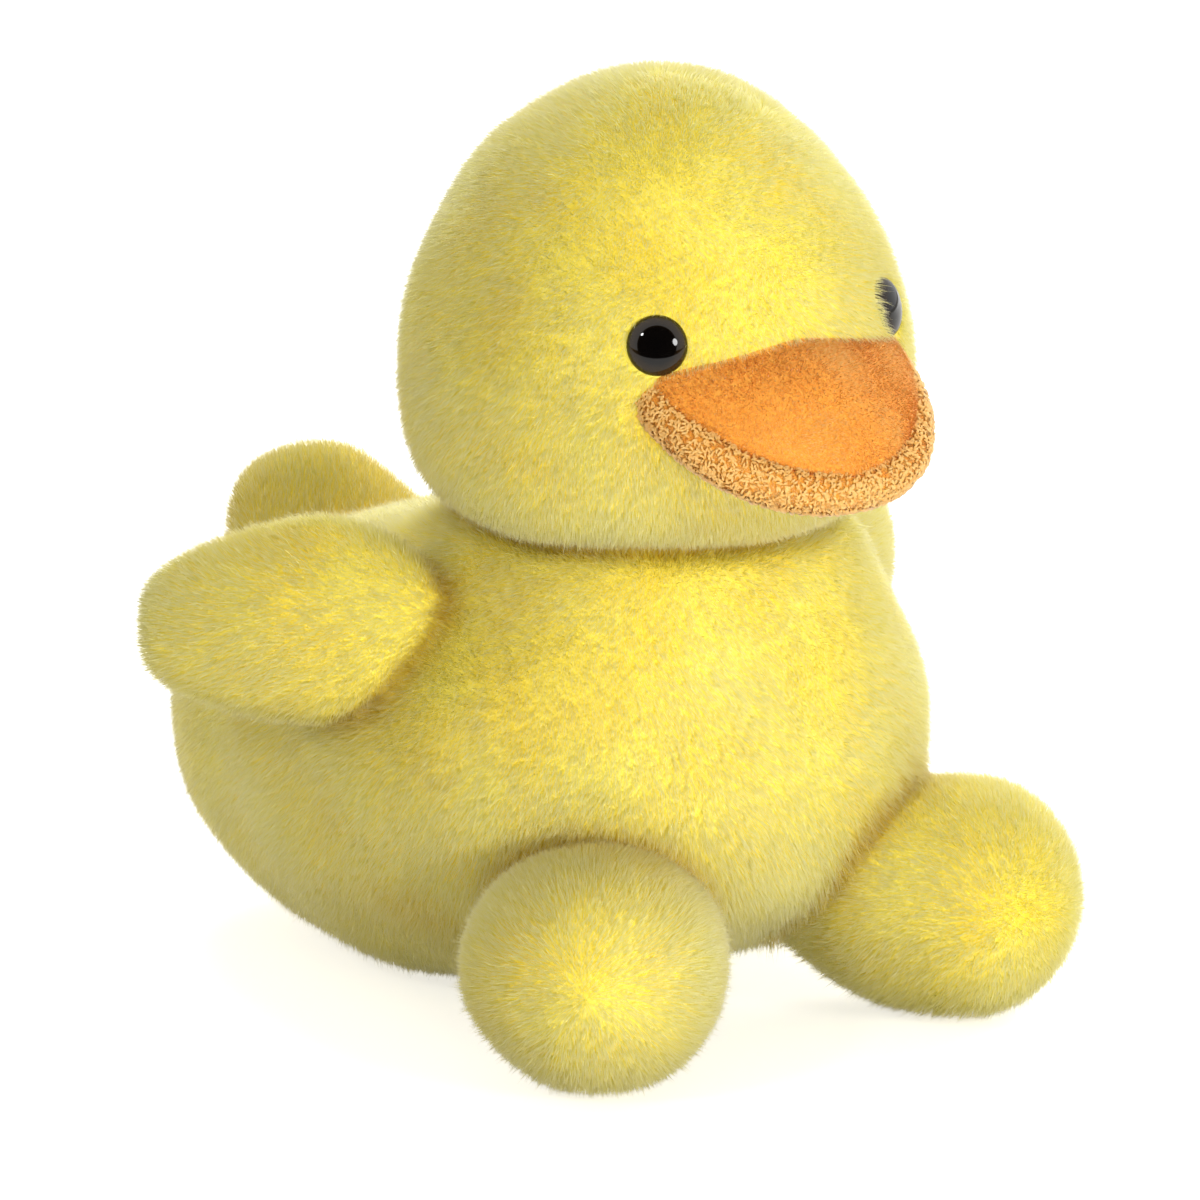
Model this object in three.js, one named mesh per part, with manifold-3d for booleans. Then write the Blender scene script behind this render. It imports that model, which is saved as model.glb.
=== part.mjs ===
// A sitting plush duck: a pellet-weighted body with a round head, a two-part padded bill,
// two plastic safety eyes, and stuffed wings, feet and tail that are sewn on at their open roots.
// Millimetres, +Z up. The duck faces -Y, and its left side is +X.
import * as THREE from "three";
import { mergeVertices } from "three/addons/utils/BufferGeometryUtils.js";
import Module from "manifold-3d";

const wasm = await Module();
wasm.setup();

const radians = THREE.MathUtils.degToRad;

// Cloth and sewing
const plushThickness = 1.8; // knitted backing with its pile pressed flat
const velourThickness = 1.2; // the thinner orange cloth of the bill
const seamGap = 0.35; // between pieces that touch
const facetSlack = 0.5; // added where a keep-out is drawn with fewer faces than the form it stands for
const floorPress = 0.5; // how deep the resting forms are pressed flat
const overrun = 6; // how far a cutting tool runs past what it cuts

// Body: an egg that lies backwards on its seat, up to the neck seam; the belly hangs clear of the floor
const bodyHeight = 63.5;
const bodyHalfWidth = 39.2;
const bodyFront = 37;
const bodyBack = 74;
// Each row: height, half-width, where the row is widest, its front and its back, as shares.
// The last three are measured from the neck's axis; the widest place is a share of the back.
const bodyLevelShares = [
  [0, 0, 0.34, -0.65, 0.34],
  [0.002, 0.31, 0.34, -0.38, 0.5],
  [0.014, 0.42, 0.325, -0.22, 0.57],
  [0.07, 0.62, 0.3, 0.19, 0.735],
  [0.148, 0.76, 0.26, 0.54, 0.875],
  [0.273, 0.905, 0.2, 0.85, 0.98],
  [0.43, 0.985, 0.11, 0.985, 1.008],
  [0.57, 1, 0.055, 1, 0.975],
  [0.695, 0.935, 0, 0.975, 0.88],
  [0.79, 0.835, -0.035, 0.94, 0.715],
  [0.867, 0.745, -0.056, 0.905, 0.535],
  [0.928, 0.69, -0.07, 0.873, 0.39],
  [0.972, 0.64, -0.0743, 0.83, 0.28],
  [1, 0.574, -0.0743, 0.757, 0.23],
];
const bodyFullness = 2.25; // 2 is an oval; higher is squarer
const bodySides = 30;
const bodyRings = 19;

// Neck: a ball of stuffing on which the head sits and nods
const neckRadius = 22.5;
const neckForward = 5.5;
const neckDrop = 22; // of the ball's centre under the neck seam
const neckPivotHeight = bodyHeight - neckDrop;
const neckBallFaces = [26, 18]; // around, and from pole to pole

// Head
const headHeight = 57.6;
const headSink = 1; // how far the head's bottom lies under the top of the body
const headBottom = bodyHeight - headSink;
const headHalfWidth = 31.6;
const headFront = 31.6;
const headBack = 31.8;
const headForward = 8;
// Each row: height, half-width, reach to the front and reach to the back, as shares
const headLevelShares = [
  [0, 0, 0, 0],
  [0.009, 0.54, 0.48, 0.56],
  [0.043, 0.79, 0.74, 0.815],
  [0.104, 0.905, 0.87, 0.91],
  [0.182, 0.968, 0.943, 0.972],
  [0.286, 0.997, 0.992, 0.997],
  [0.408, 0.997, 1, 0.992],
  [0.495, 0.968, 0.98, 0.968],
  [0.582, 0.915, 0.928, 0.92],
  [0.672, 0.845, 0.853, 0.85],
  [0.762, 0.752, 0.757, 0.755],
  [0.851, 0.625, 0.63, 0.63],
  [0.929, 0.443, 0.446, 0.446],
  [0.98, 0.236, 0.238, 0.238],
  [1, 0, 0, 0],
];
const headFullness = 2.08;
const headSides = 30;
const headRings = 18;

// Bill: a dished lower pad with a rolled rim, and a domed upper pad that lies in it.
// Both hang from the line between the corners of the mouth, and point forwards and down.
const billAboveNeck = 24.2; // of the corners of the mouth over the head's bottom
const billHeight = headBottom + billAboveNeck;
const billForward = 31.3;
const billPitch = radians(31.5);
const lowerBillHalfWidth = 20.3;
const lowerBillFront = 23.4;
const lowerBillBack = 9;
const lowerBillRim = 2.9; // radius of the rolled rim
const lowerBillDrop = 1.65; // of the rim's middle under the corners
const lowerBillDish = 0.5; // height of the dish's floor over the rim's middle
const lowerBillRoll = radians(120); // how far the rim rolls over, from its outermost line
// Where the dish runs down from the rim: inset as a share of the rim, height as a share of the dish's depth
const lowerBillDishShares = [
  [1.9, 0.42],
  [2.6, 0.06],
];
const lowerBillFlatShare = 0.5; // of its reach, where the pad is flat
const lowerBillFullness = 2.17;
const upperBillHalfWidth = 20.7;
const upperBillFront = 21.3;
const upperBillBack = 9;
const upperBillRise = 9;
const upperBillLean = 8; // how far back the crown lies
const upperBillFullness = 1.81;
// Each row: height, half-width and reach to the front, as shares; the sides fall away sooner than the tip
const upperBillLevelShares = [
  [-0.3, 0, 0],
  [-0.28, 0.5, 0.5],
  [-0.18, 0.84, 0.84],
  [0.02, 0.95, 0.97],
  [0.2, 0.916, 1],
  [0.4, 0.858, 0.95],
  [0.6, 0.699, 0.83],
  [0.78, 0.477, 0.65],
  [0.91, 0.263, 0.43],
  [0.98, 0.1, 0.2],
  [1, 0, 0],
];
const billSides = 26;

// Safety eyes: a dome moulded in one with its stem, held inside the head by a press-on washer
const eyeRadius = 3.75;
const eyeDome = 1.8;
const eyeRim = 0.5;
const eyeStemRadius = 1.1;
const eyeStemLength = 8;
const eyeInset = 1.6; // how deep the pile takes the eye in
const eyeAboveNeck = 29.6; // of the eyes over the head's bottom
const eyeHeight = headBottom + eyeAboveNeck;
const eyeYaw = radians(36); // from straight ahead
const eyeTilt = radians(13); // above the horizon
const washerRadius = 4.4;
const washerThickness = 1.3;
const washerHub = 2; // radius of the washer's raised collar
const washerHubHeight = 1;
const stemClearance = 0.3;
const roundSides = 16;
const eyeSteps = 6;

// Wings: upright flippers that lean back
const wingRootOut = 31.8;
const wingRootBack = 1.4;
const wingDrop = 10.5; // of the root's middle under the neck seam
const wingHeight = bodyHeight - wingDrop;
const wingSweep = radians(48.5); // back from straight out
const wingDroop = radians(5.7); // of the tip, below the horizon
const wingLean = radians(22); // of the upper edge, backwards
const wingLength = 41.7;
const wingBuried = 8;
const wingHalfHeight = 12.9;
const wingHalfThickness = 7.6;
const wingHeightShares = [0.45, 0.845, 1.03, 0.98, 0.895, 0.83];
const wingThicknessShares = [0.6, 0.82, 0.98, 1.06, 0.98, 0.86];
const wingRoundness = 0.54;
const wingSides = 20;
const wingRings = 12;

// Feet: round stubs that point forwards and out, tapering to the hip
const footReach = 59.2; // from the neck's axis to the toe
const footSplay = radians(40);
const footLength = 44.6;
const footHalfWidth = 16.4;
const footHalfHeight = 15.5;
const footWidthShares = [0.55, 0.72, 0.92, 1.01, 1.14, 1.22];
const footHeightShares = [0.45, 0.65, 0.89, 1, 1.14, 1.22];
const footRoundness = 1;
const footHingeFromToe = 25.2;
const footHingeReach = footReach - footHingeFromToe;
const footHingeHeight = 23;
const footSides = 20;
const footRings = 13;

// Tail: a rounded wedge that stands up behind
const tailRootBack = 56.3;
const tailRootHeight = 40;
const tailRise = radians(48); // above the horizon
const tailLength = 30.7;
const tailBuried = 10;
const tailHalfWidth = 14.6;
const tailHalfThickness = 7.2;
const tailWidthShares = [1.36, 1.3, 1.2, 1.08, 0.96, 0.88];
const tailThicknessShares = [1.3, 1.25, 1.1, 0.95, 0.85, 0.8];
const tailRoundness = 0.6;
const tailSides = 18;
const tailRings = 10;

// Pellet pouch: the flat bag of plastic pellets that weighs the seat down
const pouchHalfWidth = 19;
const pouchHalfDepth = 20;
const pouchThickness = 10;
const pouchBack = 25;
const pouchRoundness = 0.5;
const pouchSides = 20;
const pouchRings = 8;

// Limits of the joints, in degrees; the cuts at each root leave room for them
const headNod = [-8, 10];
const wingSwing = [-22, 6];
const footLift = [0, 20];
const tailTilt = [-10, 12];

const X = new THREE.Vector3(1, 0, 0);
const Y = new THREE.Vector3(0, 1, 0);
const Z = new THREE.Vector3(0, 0, 1);
const innerSidesShare = 0.55; // the lining is drawn with fewer faces than the pile
const innerRingsShare = 0.6;

const cloth = (color) => new THREE.MeshStandardMaterial({ color, roughness: 0.95, metalness: 0 });
const plastic = (color, roughness) => new THREE.MeshStandardMaterial({ color, roughness, metalness: 0 });
const yellowPlush = cloth("#f2dc5c");
const orangeVelour = cloth("#f2a545");
const stuffing = cloth("#f4f2ea");
const calico = cloth("#e6dcc4");
const eyePlastic = plastic("#17110c", 0.08);
const washerPlastic = plastic("#f0f0ec", 0.4);

// Solids and meshes

function solid(geometry) {
  const bare = geometry.clone();
  for (const name of Object.keys(bare.attributes)) {
    if (name !== "position") bare.deleteAttribute(name);
  }
  const merged = mergeVertices(bare);
  return new wasm.Manifold(
    new wasm.Mesh({
      numProp: 3,
      vertProperties: new Float32Array(merged.attributes.position.array),
      triVerts: new Uint32Array(merged.index.array),
    }),
  );
}

function geometryOf(body) {
  const { numProp, vertProperties, triVerts } = body.getMesh();
  const positions = new Float32Array((vertProperties.length / numProp) * 3);
  for (let i = 0; i * numProp < vertProperties.length; i++) {
    positions.set(vertProperties.subarray(i * numProp, i * numProp + 3), i * 3);
  }
  const geometry = new THREE.BufferGeometry();
  geometry.setAttribute("position", new THREE.BufferAttribute(positions, 3));
  geometry.setIndex(new THREE.BufferAttribute(new Uint32Array(triVerts), 1));
  geometry.computeVertexNormals();
  return geometry;
}

const cut = (body, ...tools) => tools.reduce((rest, tool) => rest.subtract(tool), body);

// The same form grown along its own normals, or shrunk by a negative amount.
function grown(geometry, amount) {
  const result = geometry.clone();
  result.computeVertexNormals();
  const { position, normal } = result.attributes;
  for (let i = 0; i < position.count; i++) {
    position.setXYZ(
      i,
      position.getX(i) + amount * normal.getX(i),
      position.getY(i) + amount * normal.getY(i),
      position.getZ(i) + amount * normal.getZ(i),
    );
  }
  return result;
}

function turnedAbout(geometry, point, axis, angle) {
  return geometry
    .clone()
    .translate(-point.x, -point.y, -point.z)
    .applyMatrix4(new THREE.Matrix4().makeRotationAxis(axis, angle))
    .translate(point.x, point.y, point.z);
}

// Keep-outs for a piece that turns: the form beside it, as the piece meets it at rest and at both limits.
function sweptTools(keepOut, point, axis, limits) {
  return [0, ...limits].map((degrees) => solid(turnedAbout(keepOut, point, axis, radians(-degrees))));
}

// Soft forms

// A smooth curve through evenly spaced values, read at a share from 0 to 1.
function along(values, share) {
  const last = values.length - 1;
  const curve = new THREE.SplineCurve(values.map((value, i) => new THREE.Vector2(i / last, value)));
  return curve.getPoint(share).y;
}

// Rings from pole to pole. A ring has a middle and four half-axes: right, up, left and down.
function loft(rings, sides, fullness = 2) {
  const positions = [];
  const index = [];
  const power = 2 / fullness;
  const bulge = (value) => Math.sign(value) * Math.abs(value) ** power;
  positions.push(...rings[0].middle);
  for (const { middle, right, up, left, down } of rings.slice(1, -1)) {
    for (let side = 0; side < sides; side++) {
      const angle = (2 * Math.PI * side) / sides;
      const across = bulge(Math.cos(angle));
      const high = bulge(Math.sin(angle));
      const point = middle
        .clone()
        .addScaledVector(across > 0 ? right : left, Math.abs(across))
        .addScaledVector(high > 0 ? up : down, Math.abs(high));
      positions.push(...point);
    }
  }
  positions.push(...rings[rings.length - 1].middle);
  const ringCount = rings.length - 2;
  const end = 1 + ringCount * sides;
  const at = (ring, side) => 1 + ring * sides + (side % sides);
  for (let side = 0; side < sides; side++) {
    index.push(0, at(0, side + 1), at(0, side));
    for (let ring = 0; ring + 1 < ringCount; ring++) {
      index.push(at(ring, side), at(ring, side + 1), at(ring + 1, side + 1));
      index.push(at(ring, side), at(ring + 1, side + 1), at(ring + 1, side));
    }
    index.push(end, at(ringCount - 1, side), at(ringCount - 1, side + 1));
  }
  const geometry = new THREE.BufferGeometry();
  geometry.setAttribute("position", new THREE.Float32BufferAttribute(positions, 3));
  geometry.setIndex(index);
  return geometry;
}

// An upright form from rows of [height, half-width, widest place, front, back], all but the height
// and the half-width being places along Y.
function upright(rows, sides, ringCount, fullness) {
  const rings = [];
  for (let i = 0; i <= ringCount; i++) {
    const [height, width, widest, front, back] = rows[0].map((_, column) =>
      along(
        rows.map((row) => row[column]),
        i / ringCount,
      ),
    );
    rings.push({
      middle: new THREE.Vector3(0, widest, height),
      right: X.clone().multiplyScalar(width),
      left: X.clone().multiplyScalar(-width),
      up: Y.clone().multiplyScalar(back - widest),
      down: Y.clone().multiplyScalar(front - widest),
    });
  }
  return loft(rings, sides, fullness);
}

// A stuffed limb: round at both ends, along a direction, with its swelling given by shares.
function limb(form) {
  const { start, direction, wide, length, half, thick, wideShares, thickShares, roundness, sides, rings } = form;
  const high = direction.clone().cross(wide);
  const list = [];
  for (let i = 0; i <= rings; i++) {
    const share = (1 - Math.cos((Math.PI * i) / rings)) / 2;
    const round = Math.sin((Math.PI * i) / rings) ** roundness;
    const across = wide.clone().multiplyScalar(half * round * along(wideShares, share));
    const through = high.clone().multiplyScalar(thick * round * along(thickShares, share));
    list.push({
      middle: start.clone().addScaledVector(direction, length * share),
      right: across,
      left: across.clone().negate(),
      up: through,
      down: through.clone().negate(),
    });
  }
  return loft(list, sides);
}

const coarser = (sides, rings) => [
  2 * Math.round((sides * innerSidesShare) / 2),
  Math.round(rings * innerRingsShare),
];

// A form drawn twice: its outside, and with fewer faces its lining, its filling and its keep-out.
function clothForm(make, sides, rings, thickness) {
  const outside = make(sides, rings);
  const coarse = make(...coarser(sides, rings));
  return {
    outside,
    inside: grown(coarse, -thickness),
    fill: grown(coarse, -thickness - seamGap),
    keepOut: grown(coarse, seamGap + facetSlack),
    closeKeepOut: grown(outside, seamGap),
  };
}

// Body

const neckPivot = new THREE.Vector3(0, -neckForward, neckPivotHeight);
const neckBallRadius = Math.hypot(neckRadius, bodyHeight - neckPivotHeight);
const neckDomeShares = [0.3, 0.55, 0.8, 1]; // of the way from the seam up to the dome's top
const seamAngle = Math.asin((bodyHeight - neckPivotHeight) / neckBallRadius);
const bodyRows = [
  ...bodyLevelShares.map(([height, width, widest, front, back]) => [
    height * (bodyHeight + floorPress) - floorPress,
    width * bodyHalfWidth,
    widest * bodyBack,
    -front * bodyFront,
    back * bodyBack,
  ]),
  ...neckDomeShares.map((share) => {
    const angle = seamAngle + share * (Math.PI / 2 - seamAngle);
    const radius = share < 1 ? neckBallRadius * Math.cos(angle) : 0;
    const height = neckPivotHeight + neckBallRadius * Math.sin(angle);
    return [height, radius, -neckForward, -neckForward - radius, -neckForward + radius];
  }),
];
const bodyForm = clothForm(
  (sides, rings) => upright(bodyRows, sides, rings, bodyFullness),
  bodySides,
  bodyRings,
  plushThickness,
);

const reach = bodyBack + bodyFront + overrun;
const slab = (low, high) => {
  const block = new THREE.BoxGeometry(2 * reach, 2 * reach, high - low);
  return solid(block.translate(0, 0, (low + high) / 2));
};
const underFloor = slab(-overrun, 0);
const neckTop = bodyHeight + headHeight + overrun;
const aboveSeam = slab(bodyHeight, neckTop);
const neckBall = (growth) =>
  solid(new THREE.SphereGeometry(neckBallRadius + growth, ...neckBallFaces).translate(...neckPivot));

// The pouch lies on the cloth of the seat; the stuffing's pocket for it is open underneath.
const pouchForm = (drop) =>
  limb({
    start: new THREE.Vector3(0, pouchBack, plushThickness - floorPress + seamGap - drop),
    direction: Z,
    wide: X,
    length: pouchThickness + drop,
    half: pouchHalfWidth,
    thick: pouchHalfDepth,
    wideShares: [1, 1],
    thickShares: [1, 1],
    roundness: pouchRoundness,
    sides: pouchSides,
    rings: pouchRings,
  });
const pouchGeometry = pouchForm(0);

const bodySkin = cut(solid(bodyForm.outside), solid(bodyForm.inside), underFloor, aboveSeam);
const neckDome = cut(neckBall(0), slab(-reach, bodyHeight + seamGap));
const neckPlug = cut(solid(bodyForm.fill), slab(-reach, bodyHeight - plushThickness));
const bodyStuffing = cut(
  cut(solid(bodyForm.fill), aboveSeam).add(neckPlug).add(neckDome),
  solid(grown(pouchGeometry, seamGap)),
  solid(pouchForm(overrun)),
);

// Head

const headRows = headLevelShares.map(([height, width, front, back]) => [
  headBottom + height * headHeight,
  width * headHalfWidth,
  -headForward,
  -headForward - front * headFront,
  -headForward + back * headBack,
]);
const headForm = clothForm(
  (sides, rings) => upright(headRows, sides, rings, headFullness),
  headSides,
  headRings,
  plushThickness,
);
const shoulders = geometryOf(cut(solid(bodyForm.keepOut), slab(bodyHeight + seamGap, neckTop)));
const bodyKeepOut = sweptTools(shoulders, neckPivot, X, headNod);
const neckSeat = neckBall(seamGap + facetSlack);

const headSurface = new THREE.Mesh(headForm.outside, new THREE.MeshBasicMaterial({ side: THREE.DoubleSide }));

// Where a line from the head's axis, at a height and a yaw from straight ahead, leaves the head.
function headPoint(height, yaw) {
  const from = new THREE.Vector3(0, -headForward, height);
  const ray = new THREE.Raycaster(from, new THREE.Vector3(Math.sin(yaw), -Math.cos(yaw), 0));
  return ray.intersectObject(headSurface)[0].point;
}

// Eyes

const lathe = (points) => new THREE.LatheGeometry(points, roundSides);
const disc = (radius, low, high) =>
  new THREE.CylinderGeometry(radius, radius, high - low, roundSides).translate(0, (low + high) / 2, 0);

const eyeProfile = () => {
  const dome = new THREE.EllipseCurve(0, eyeRim, eyeRadius, eyeDome, 0, Math.PI / 2).getPoints(eyeSteps);
  return [
    new THREE.Vector2(0, -eyeStemLength),
    new THREE.Vector2(eyeStemRadius, -eyeStemLength),
    new THREE.Vector2(eyeStemRadius, 0),
    new THREE.Vector2(eyeRadius, 0),
    ...dome.slice(0, -1),
    new THREE.Vector2(0, eyeRim + eyeDome),
  ];
};

// The washer lies on the head's lining, so its outer face is one plush thickness under the eye.
const washerTop = -(plushThickness - eyeInset) - 2 * seamGap;
const washerProfile = () => {
  const bore = eyeStemRadius + stemClearance;
  const underside = washerTop - washerThickness;
  return [
    new THREE.Vector2(bore, underside - washerHubHeight),
    new THREE.Vector2(washerHub, underside - washerHubHeight),
    new THREE.Vector2(washerHub, underside),
    new THREE.Vector2(washerRadius, underside),
    new THREE.Vector2(washerRadius, washerTop),
    new THREE.Vector2(bore, washerTop),
    new THREE.Vector2(bore, underside - washerHubHeight),
  ];
};

// side is 1 for the duck's left and -1 for its right.
function eyePlace(side) {
  const yaw = side * eyeYaw;
  const outward = new THREE.Vector3(
    Math.sin(yaw) * Math.cos(eyeTilt),
    -Math.cos(yaw) * Math.cos(eyeTilt),
    Math.sin(eyeTilt),
  );
  const seat = headPoint(eyeHeight, yaw).addScaledVector(outward, -eyeInset);
  const turn = new THREE.Quaternion().setFromUnitVectors(Y, outward);
  return new THREE.Matrix4().compose(seat, turn, new THREE.Vector3(1, 1, 1));
}

const eyeSides = [
  ["left", 1],
  ["right", -1],
];
const eyeTools = eyeSides.flatMap(([, side]) => {
  const place = eyePlace(side);
  const seat = disc(eyeRadius + seamGap, -seamGap, eyeRim + eyeDome).applyMatrix4(place);
  const hole = disc(eyeStemRadius + stemClearance, -plushThickness - overrun, overrun).applyMatrix4(place);
  return [solid(seat), solid(hole)];
});
const washerPockets = eyeSides.flatMap(([, side]) => {
  const place = eyePlace(side);
  const underside = washerTop - washerThickness - washerHubHeight - seamGap;
  const pocket = disc(washerRadius + seamGap, underside, overrun).applyMatrix4(place);
  const bore = disc(eyeStemRadius + stemClearance, -eyeStemLength - seamGap, overrun).applyMatrix4(place);
  return [solid(pocket), solid(bore)];
});
// Flattens the lining under each washer, so that the washer's whole face bears on cloth.
const washerLands = eyeSides.map(([, side]) =>
  solid(disc(washerRadius + seamGap, washerTop - overrun, washerTop + seamGap).applyMatrix4(eyePlace(side))),
);

const headSkin = cut(
  solid(headForm.outside),
  solid(headForm.inside),
  neckSeat,
  ...bodyKeepOut,
  ...eyeTools,
  ...washerLands,
);
const headStuffing = cut(solid(headForm.fill), neckSeat, ...bodyKeepOut, ...washerPockets);

// Bill

const billPlace = new THREE.Matrix4()
  .makeTranslation(0, -billForward, billHeight)
  .multiply(new THREE.Matrix4().makeRotationX(billPitch));

// Bottom, rolled rim and dished top of the lower pad.
function lowerBill(sides, rimSteps) {
  const ring = (height, share, inset) => ({
    middle: new THREE.Vector3(0, 0, height - lowerBillDrop),
    right: X.clone().multiplyScalar(share * (lowerBillHalfWidth - inset)),
    left: X.clone().multiplyScalar(-share * (lowerBillHalfWidth - inset)),
    up: Y.clone().multiplyScalar(share * (lowerBillBack - inset)),
    down: Y.clone().multiplyScalar(-share * (lowerBillFront - inset)),
  });
  const rings = [ring(-lowerBillRim, 0, 0), ring(-lowerBillRim, lowerBillFlatShare, lowerBillRim)];
  const rimStart = -Math.PI / 2;
  for (let i = 0; i <= rimSteps; i++) {
    const angle = rimStart + ((lowerBillRoll - rimStart) * i) / rimSteps;
    rings.push(ring(lowerBillRim * Math.sin(angle), 1, lowerBillRim * (1 - Math.cos(angle))));
  }
  for (const [inset, height] of lowerBillDishShares) {
    rings.push(ring(lowerBillDish + (lowerBillRim - lowerBillDish) * height, 1, inset * lowerBillRim));
  }
  rings.push(ring(lowerBillDish, lowerBillFlatShare, 0));
  rings.push(ring(lowerBillDish, 0, 0));
  return loft(rings, sides, lowerBillFullness).applyMatrix4(billPlace);
}

function upperBill(sides, ringCount) {
  const rings = [];
  for (let i = 0; i <= ringCount; i++) {
    const [height, wide, ahead] = upperBillLevelShares[0].map((_, column) =>
      along(
        upperBillLevelShares.map((row) => row[column]),
        i / ringCount,
      ),
    );
    const lean = Math.max(height, 0) ** 2 * upperBillLean;
    rings.push({
      middle: new THREE.Vector3(0, -lean, height * upperBillRise - lowerBillDrop + lowerBillDish),
      right: X.clone().multiplyScalar(Math.max(wide, 0) * upperBillHalfWidth),
      left: X.clone().multiplyScalar(-Math.max(wide, 0) * upperBillHalfWidth),
      up: Y.clone().multiplyScalar(Math.max(ahead, 0) * (upperBillBack + lean)),
      down: Y.clone().multiplyScalar(-Math.max(ahead, 0) * (upperBillFront - lean)),
    });
  }
  return loft(rings, sides, upperBillFullness).applyMatrix4(billPlace);
}

const rimSteps = 8;
const upperRings = 11;
const lowerBillForm = clothForm(lowerBill, billSides, rimSteps, velourThickness);
const upperBillForm = clothForm(upperBill, billSides, upperRings, velourThickness);
const faceKeepOut = solid(headForm.closeKeepOut);
const lowerKeepOut = solid(lowerBillForm.closeKeepOut);
const lowerBillSkin = cut(solid(lowerBillForm.outside), solid(lowerBillForm.inside), faceKeepOut);
const lowerBillStuffing = cut(solid(lowerBillForm.fill), faceKeepOut);
const upperBillSkin = cut(
  cut(solid(upperBillForm.outside), solid(upperBillForm.inside)),
  faceKeepOut,
  lowerKeepOut,
);
const upperBillStuffing = cut(solid(upperBillForm.fill), faceKeepOut, lowerKeepOut);

// Limbs. Each is made for the duck's left side, and mirrored for the right.

function mirrored(geometry) {
  const result = geometry.clone().scale(-1, 1, 1);
  const order = result.index.array;
  for (let i = 0; i < order.length; i += 3) {
    [order[i + 1], order[i + 2]] = [order[i + 2], order[i + 1]];
  }
  return result;
}

const wingDirection = new THREE.Vector3(
  Math.cos(wingSweep) * Math.cos(wingDroop),
  Math.sin(wingSweep) * Math.cos(wingDroop),
  -Math.sin(wingDroop),
);
const wingFace = wingDirection.clone().cross(Z).normalize();
const wingUp = wingFace.clone().cross(wingDirection).applyAxisAngle(wingDirection, -wingLean);
const wingHinge = new THREE.Vector3(wingRootOut, wingRootBack, wingHeight);
const wingForm = clothForm(
  (sides, rings) =>
    limb({
      start: wingHinge.clone().addScaledVector(wingDirection, -wingBuried),
      direction: wingDirection,
      wide: wingUp,
      length: wingLength,
      half: wingHalfHeight,
      thick: wingHalfThickness,
      wideShares: wingHeightShares,
      thickShares: wingThicknessShares,
      roundness: wingRoundness,
      sides,
      rings,
    }),
  wingSides,
  wingRings,
  plushThickness,
);
const wingKeepOut = [
  ...sweptTools(bodyForm.closeKeepOut, wingHinge, Z, wingSwing),
  ...[0, ...headNod].map((degrees) => solid(turnedAbout(headForm.keepOut, neckPivot, X, radians(degrees)))),
];

const footDirection = new THREE.Vector3(Math.sin(footSplay), -Math.cos(footSplay), 0);
const footAxis = footDirection.clone().cross(Z); // turns the toe up
const footMiddle = footHalfHeight - floorPress;
const footHinge = footDirection.clone().multiplyScalar(footHingeReach).setZ(footHingeHeight);
const footForm = clothForm(
  (sides, rings) =>
    limb({
      start: footDirection
        .clone()
        .multiplyScalar(footReach - footLength)
        .setZ(footMiddle),
      direction: footDirection,
      wide: footAxis,
      length: footLength,
      half: footHalfWidth,
      thick: footHalfHeight,
      wideShares: footWidthShares,
      thickShares: footHeightShares,
      roundness: footRoundness,
      sides,
      rings,
    }),
  footSides,
  footRings,
  plushThickness,
);
const footKeepOut = [...sweptTools(bodyForm.closeKeepOut, footHinge, footAxis, footLift), underFloor];

const tailDirection = new THREE.Vector3(0, Math.cos(tailRise), Math.sin(tailRise));
const tailHinge = new THREE.Vector3(0, tailRootBack, tailRootHeight);
const tailForm = clothForm(
  (sides, rings) =>
    limb({
      start: tailHinge.clone().addScaledVector(tailDirection, -tailBuried),
      direction: tailDirection,
      wide: X,
      length: tailLength,
      half: tailHalfWidth,
      thick: tailHalfThickness,
      wideShares: tailWidthShares,
      thickShares: tailThicknessShares,
      roundness: tailRoundness,
      sides,
      rings,
    }),
  tailSides,
  tailRings,
  plushThickness,
);
const tailKeepOut = sweptTools(bodyForm.closeKeepOut, tailHinge, X, tailTilt);

// Assembly

const duck = new THREE.Group();

// A group at a joint or a seam; its meshes are given in the duck's frame and stored in the group's.
function assembly(origin, pieces) {
  const group = new THREE.Group();
  group.position.copy(origin);
  for (const [name, geometry, material] of pieces) {
    const mesh = new THREE.Mesh(geometry.translate(-origin.x, -origin.y, -origin.z), material);
    mesh.name = name;
    group.add(mesh);
  }
  return group;
}

duck.add(
  assembly(new THREE.Vector3(), [
    ["body_skin", geometryOf(bodySkin), yellowPlush],
    ["body_stuffing", geometryOf(bodyStuffing), stuffing],
    ["pellet_pouch", pouchGeometry, calico],
  ]),
);

const headGroup = assembly(neckPivot, [
  ["head_skin", geometryOf(headSkin), yellowPlush],
  ["head_stuffing", geometryOf(headStuffing), stuffing],
  ["bill_upper_skin", geometryOf(upperBillSkin), orangeVelour],
  ["bill_upper_stuffing", geometryOf(upperBillStuffing), stuffing],
  ["bill_lower_skin", geometryOf(lowerBillSkin), orangeVelour],
  ["bill_lower_stuffing", geometryOf(lowerBillStuffing), stuffing],
]);
duck.add(headGroup);

for (const [name, side] of eyeSides) {
  const eye = new THREE.Group();
  const toHead = new THREE.Matrix4().makeTranslation(...neckPivot.clone().negate());
  eye.applyMatrix4(toHead.multiply(eyePlace(side)));
  const dome = new THREE.Mesh(lathe(eyeProfile()), eyePlastic);
  dome.name = `eye_${name}`;
  const washer = new THREE.Mesh(lathe(washerProfile()), washerPlastic);
  washer.name = `eye_washer_${name}`;
  eye.add(dome, washer);
  headGroup.add(eye);
}

function limbPieces(name, form, tools) {
  return [
    [`${name}_skin`, geometryOf(cut(solid(form.outside), solid(form.inside), ...tools)), yellowPlush],
    [`${name}_stuffing`, geometryOf(cut(solid(form.fill), ...tools)), stuffing],
  ];
}

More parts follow.
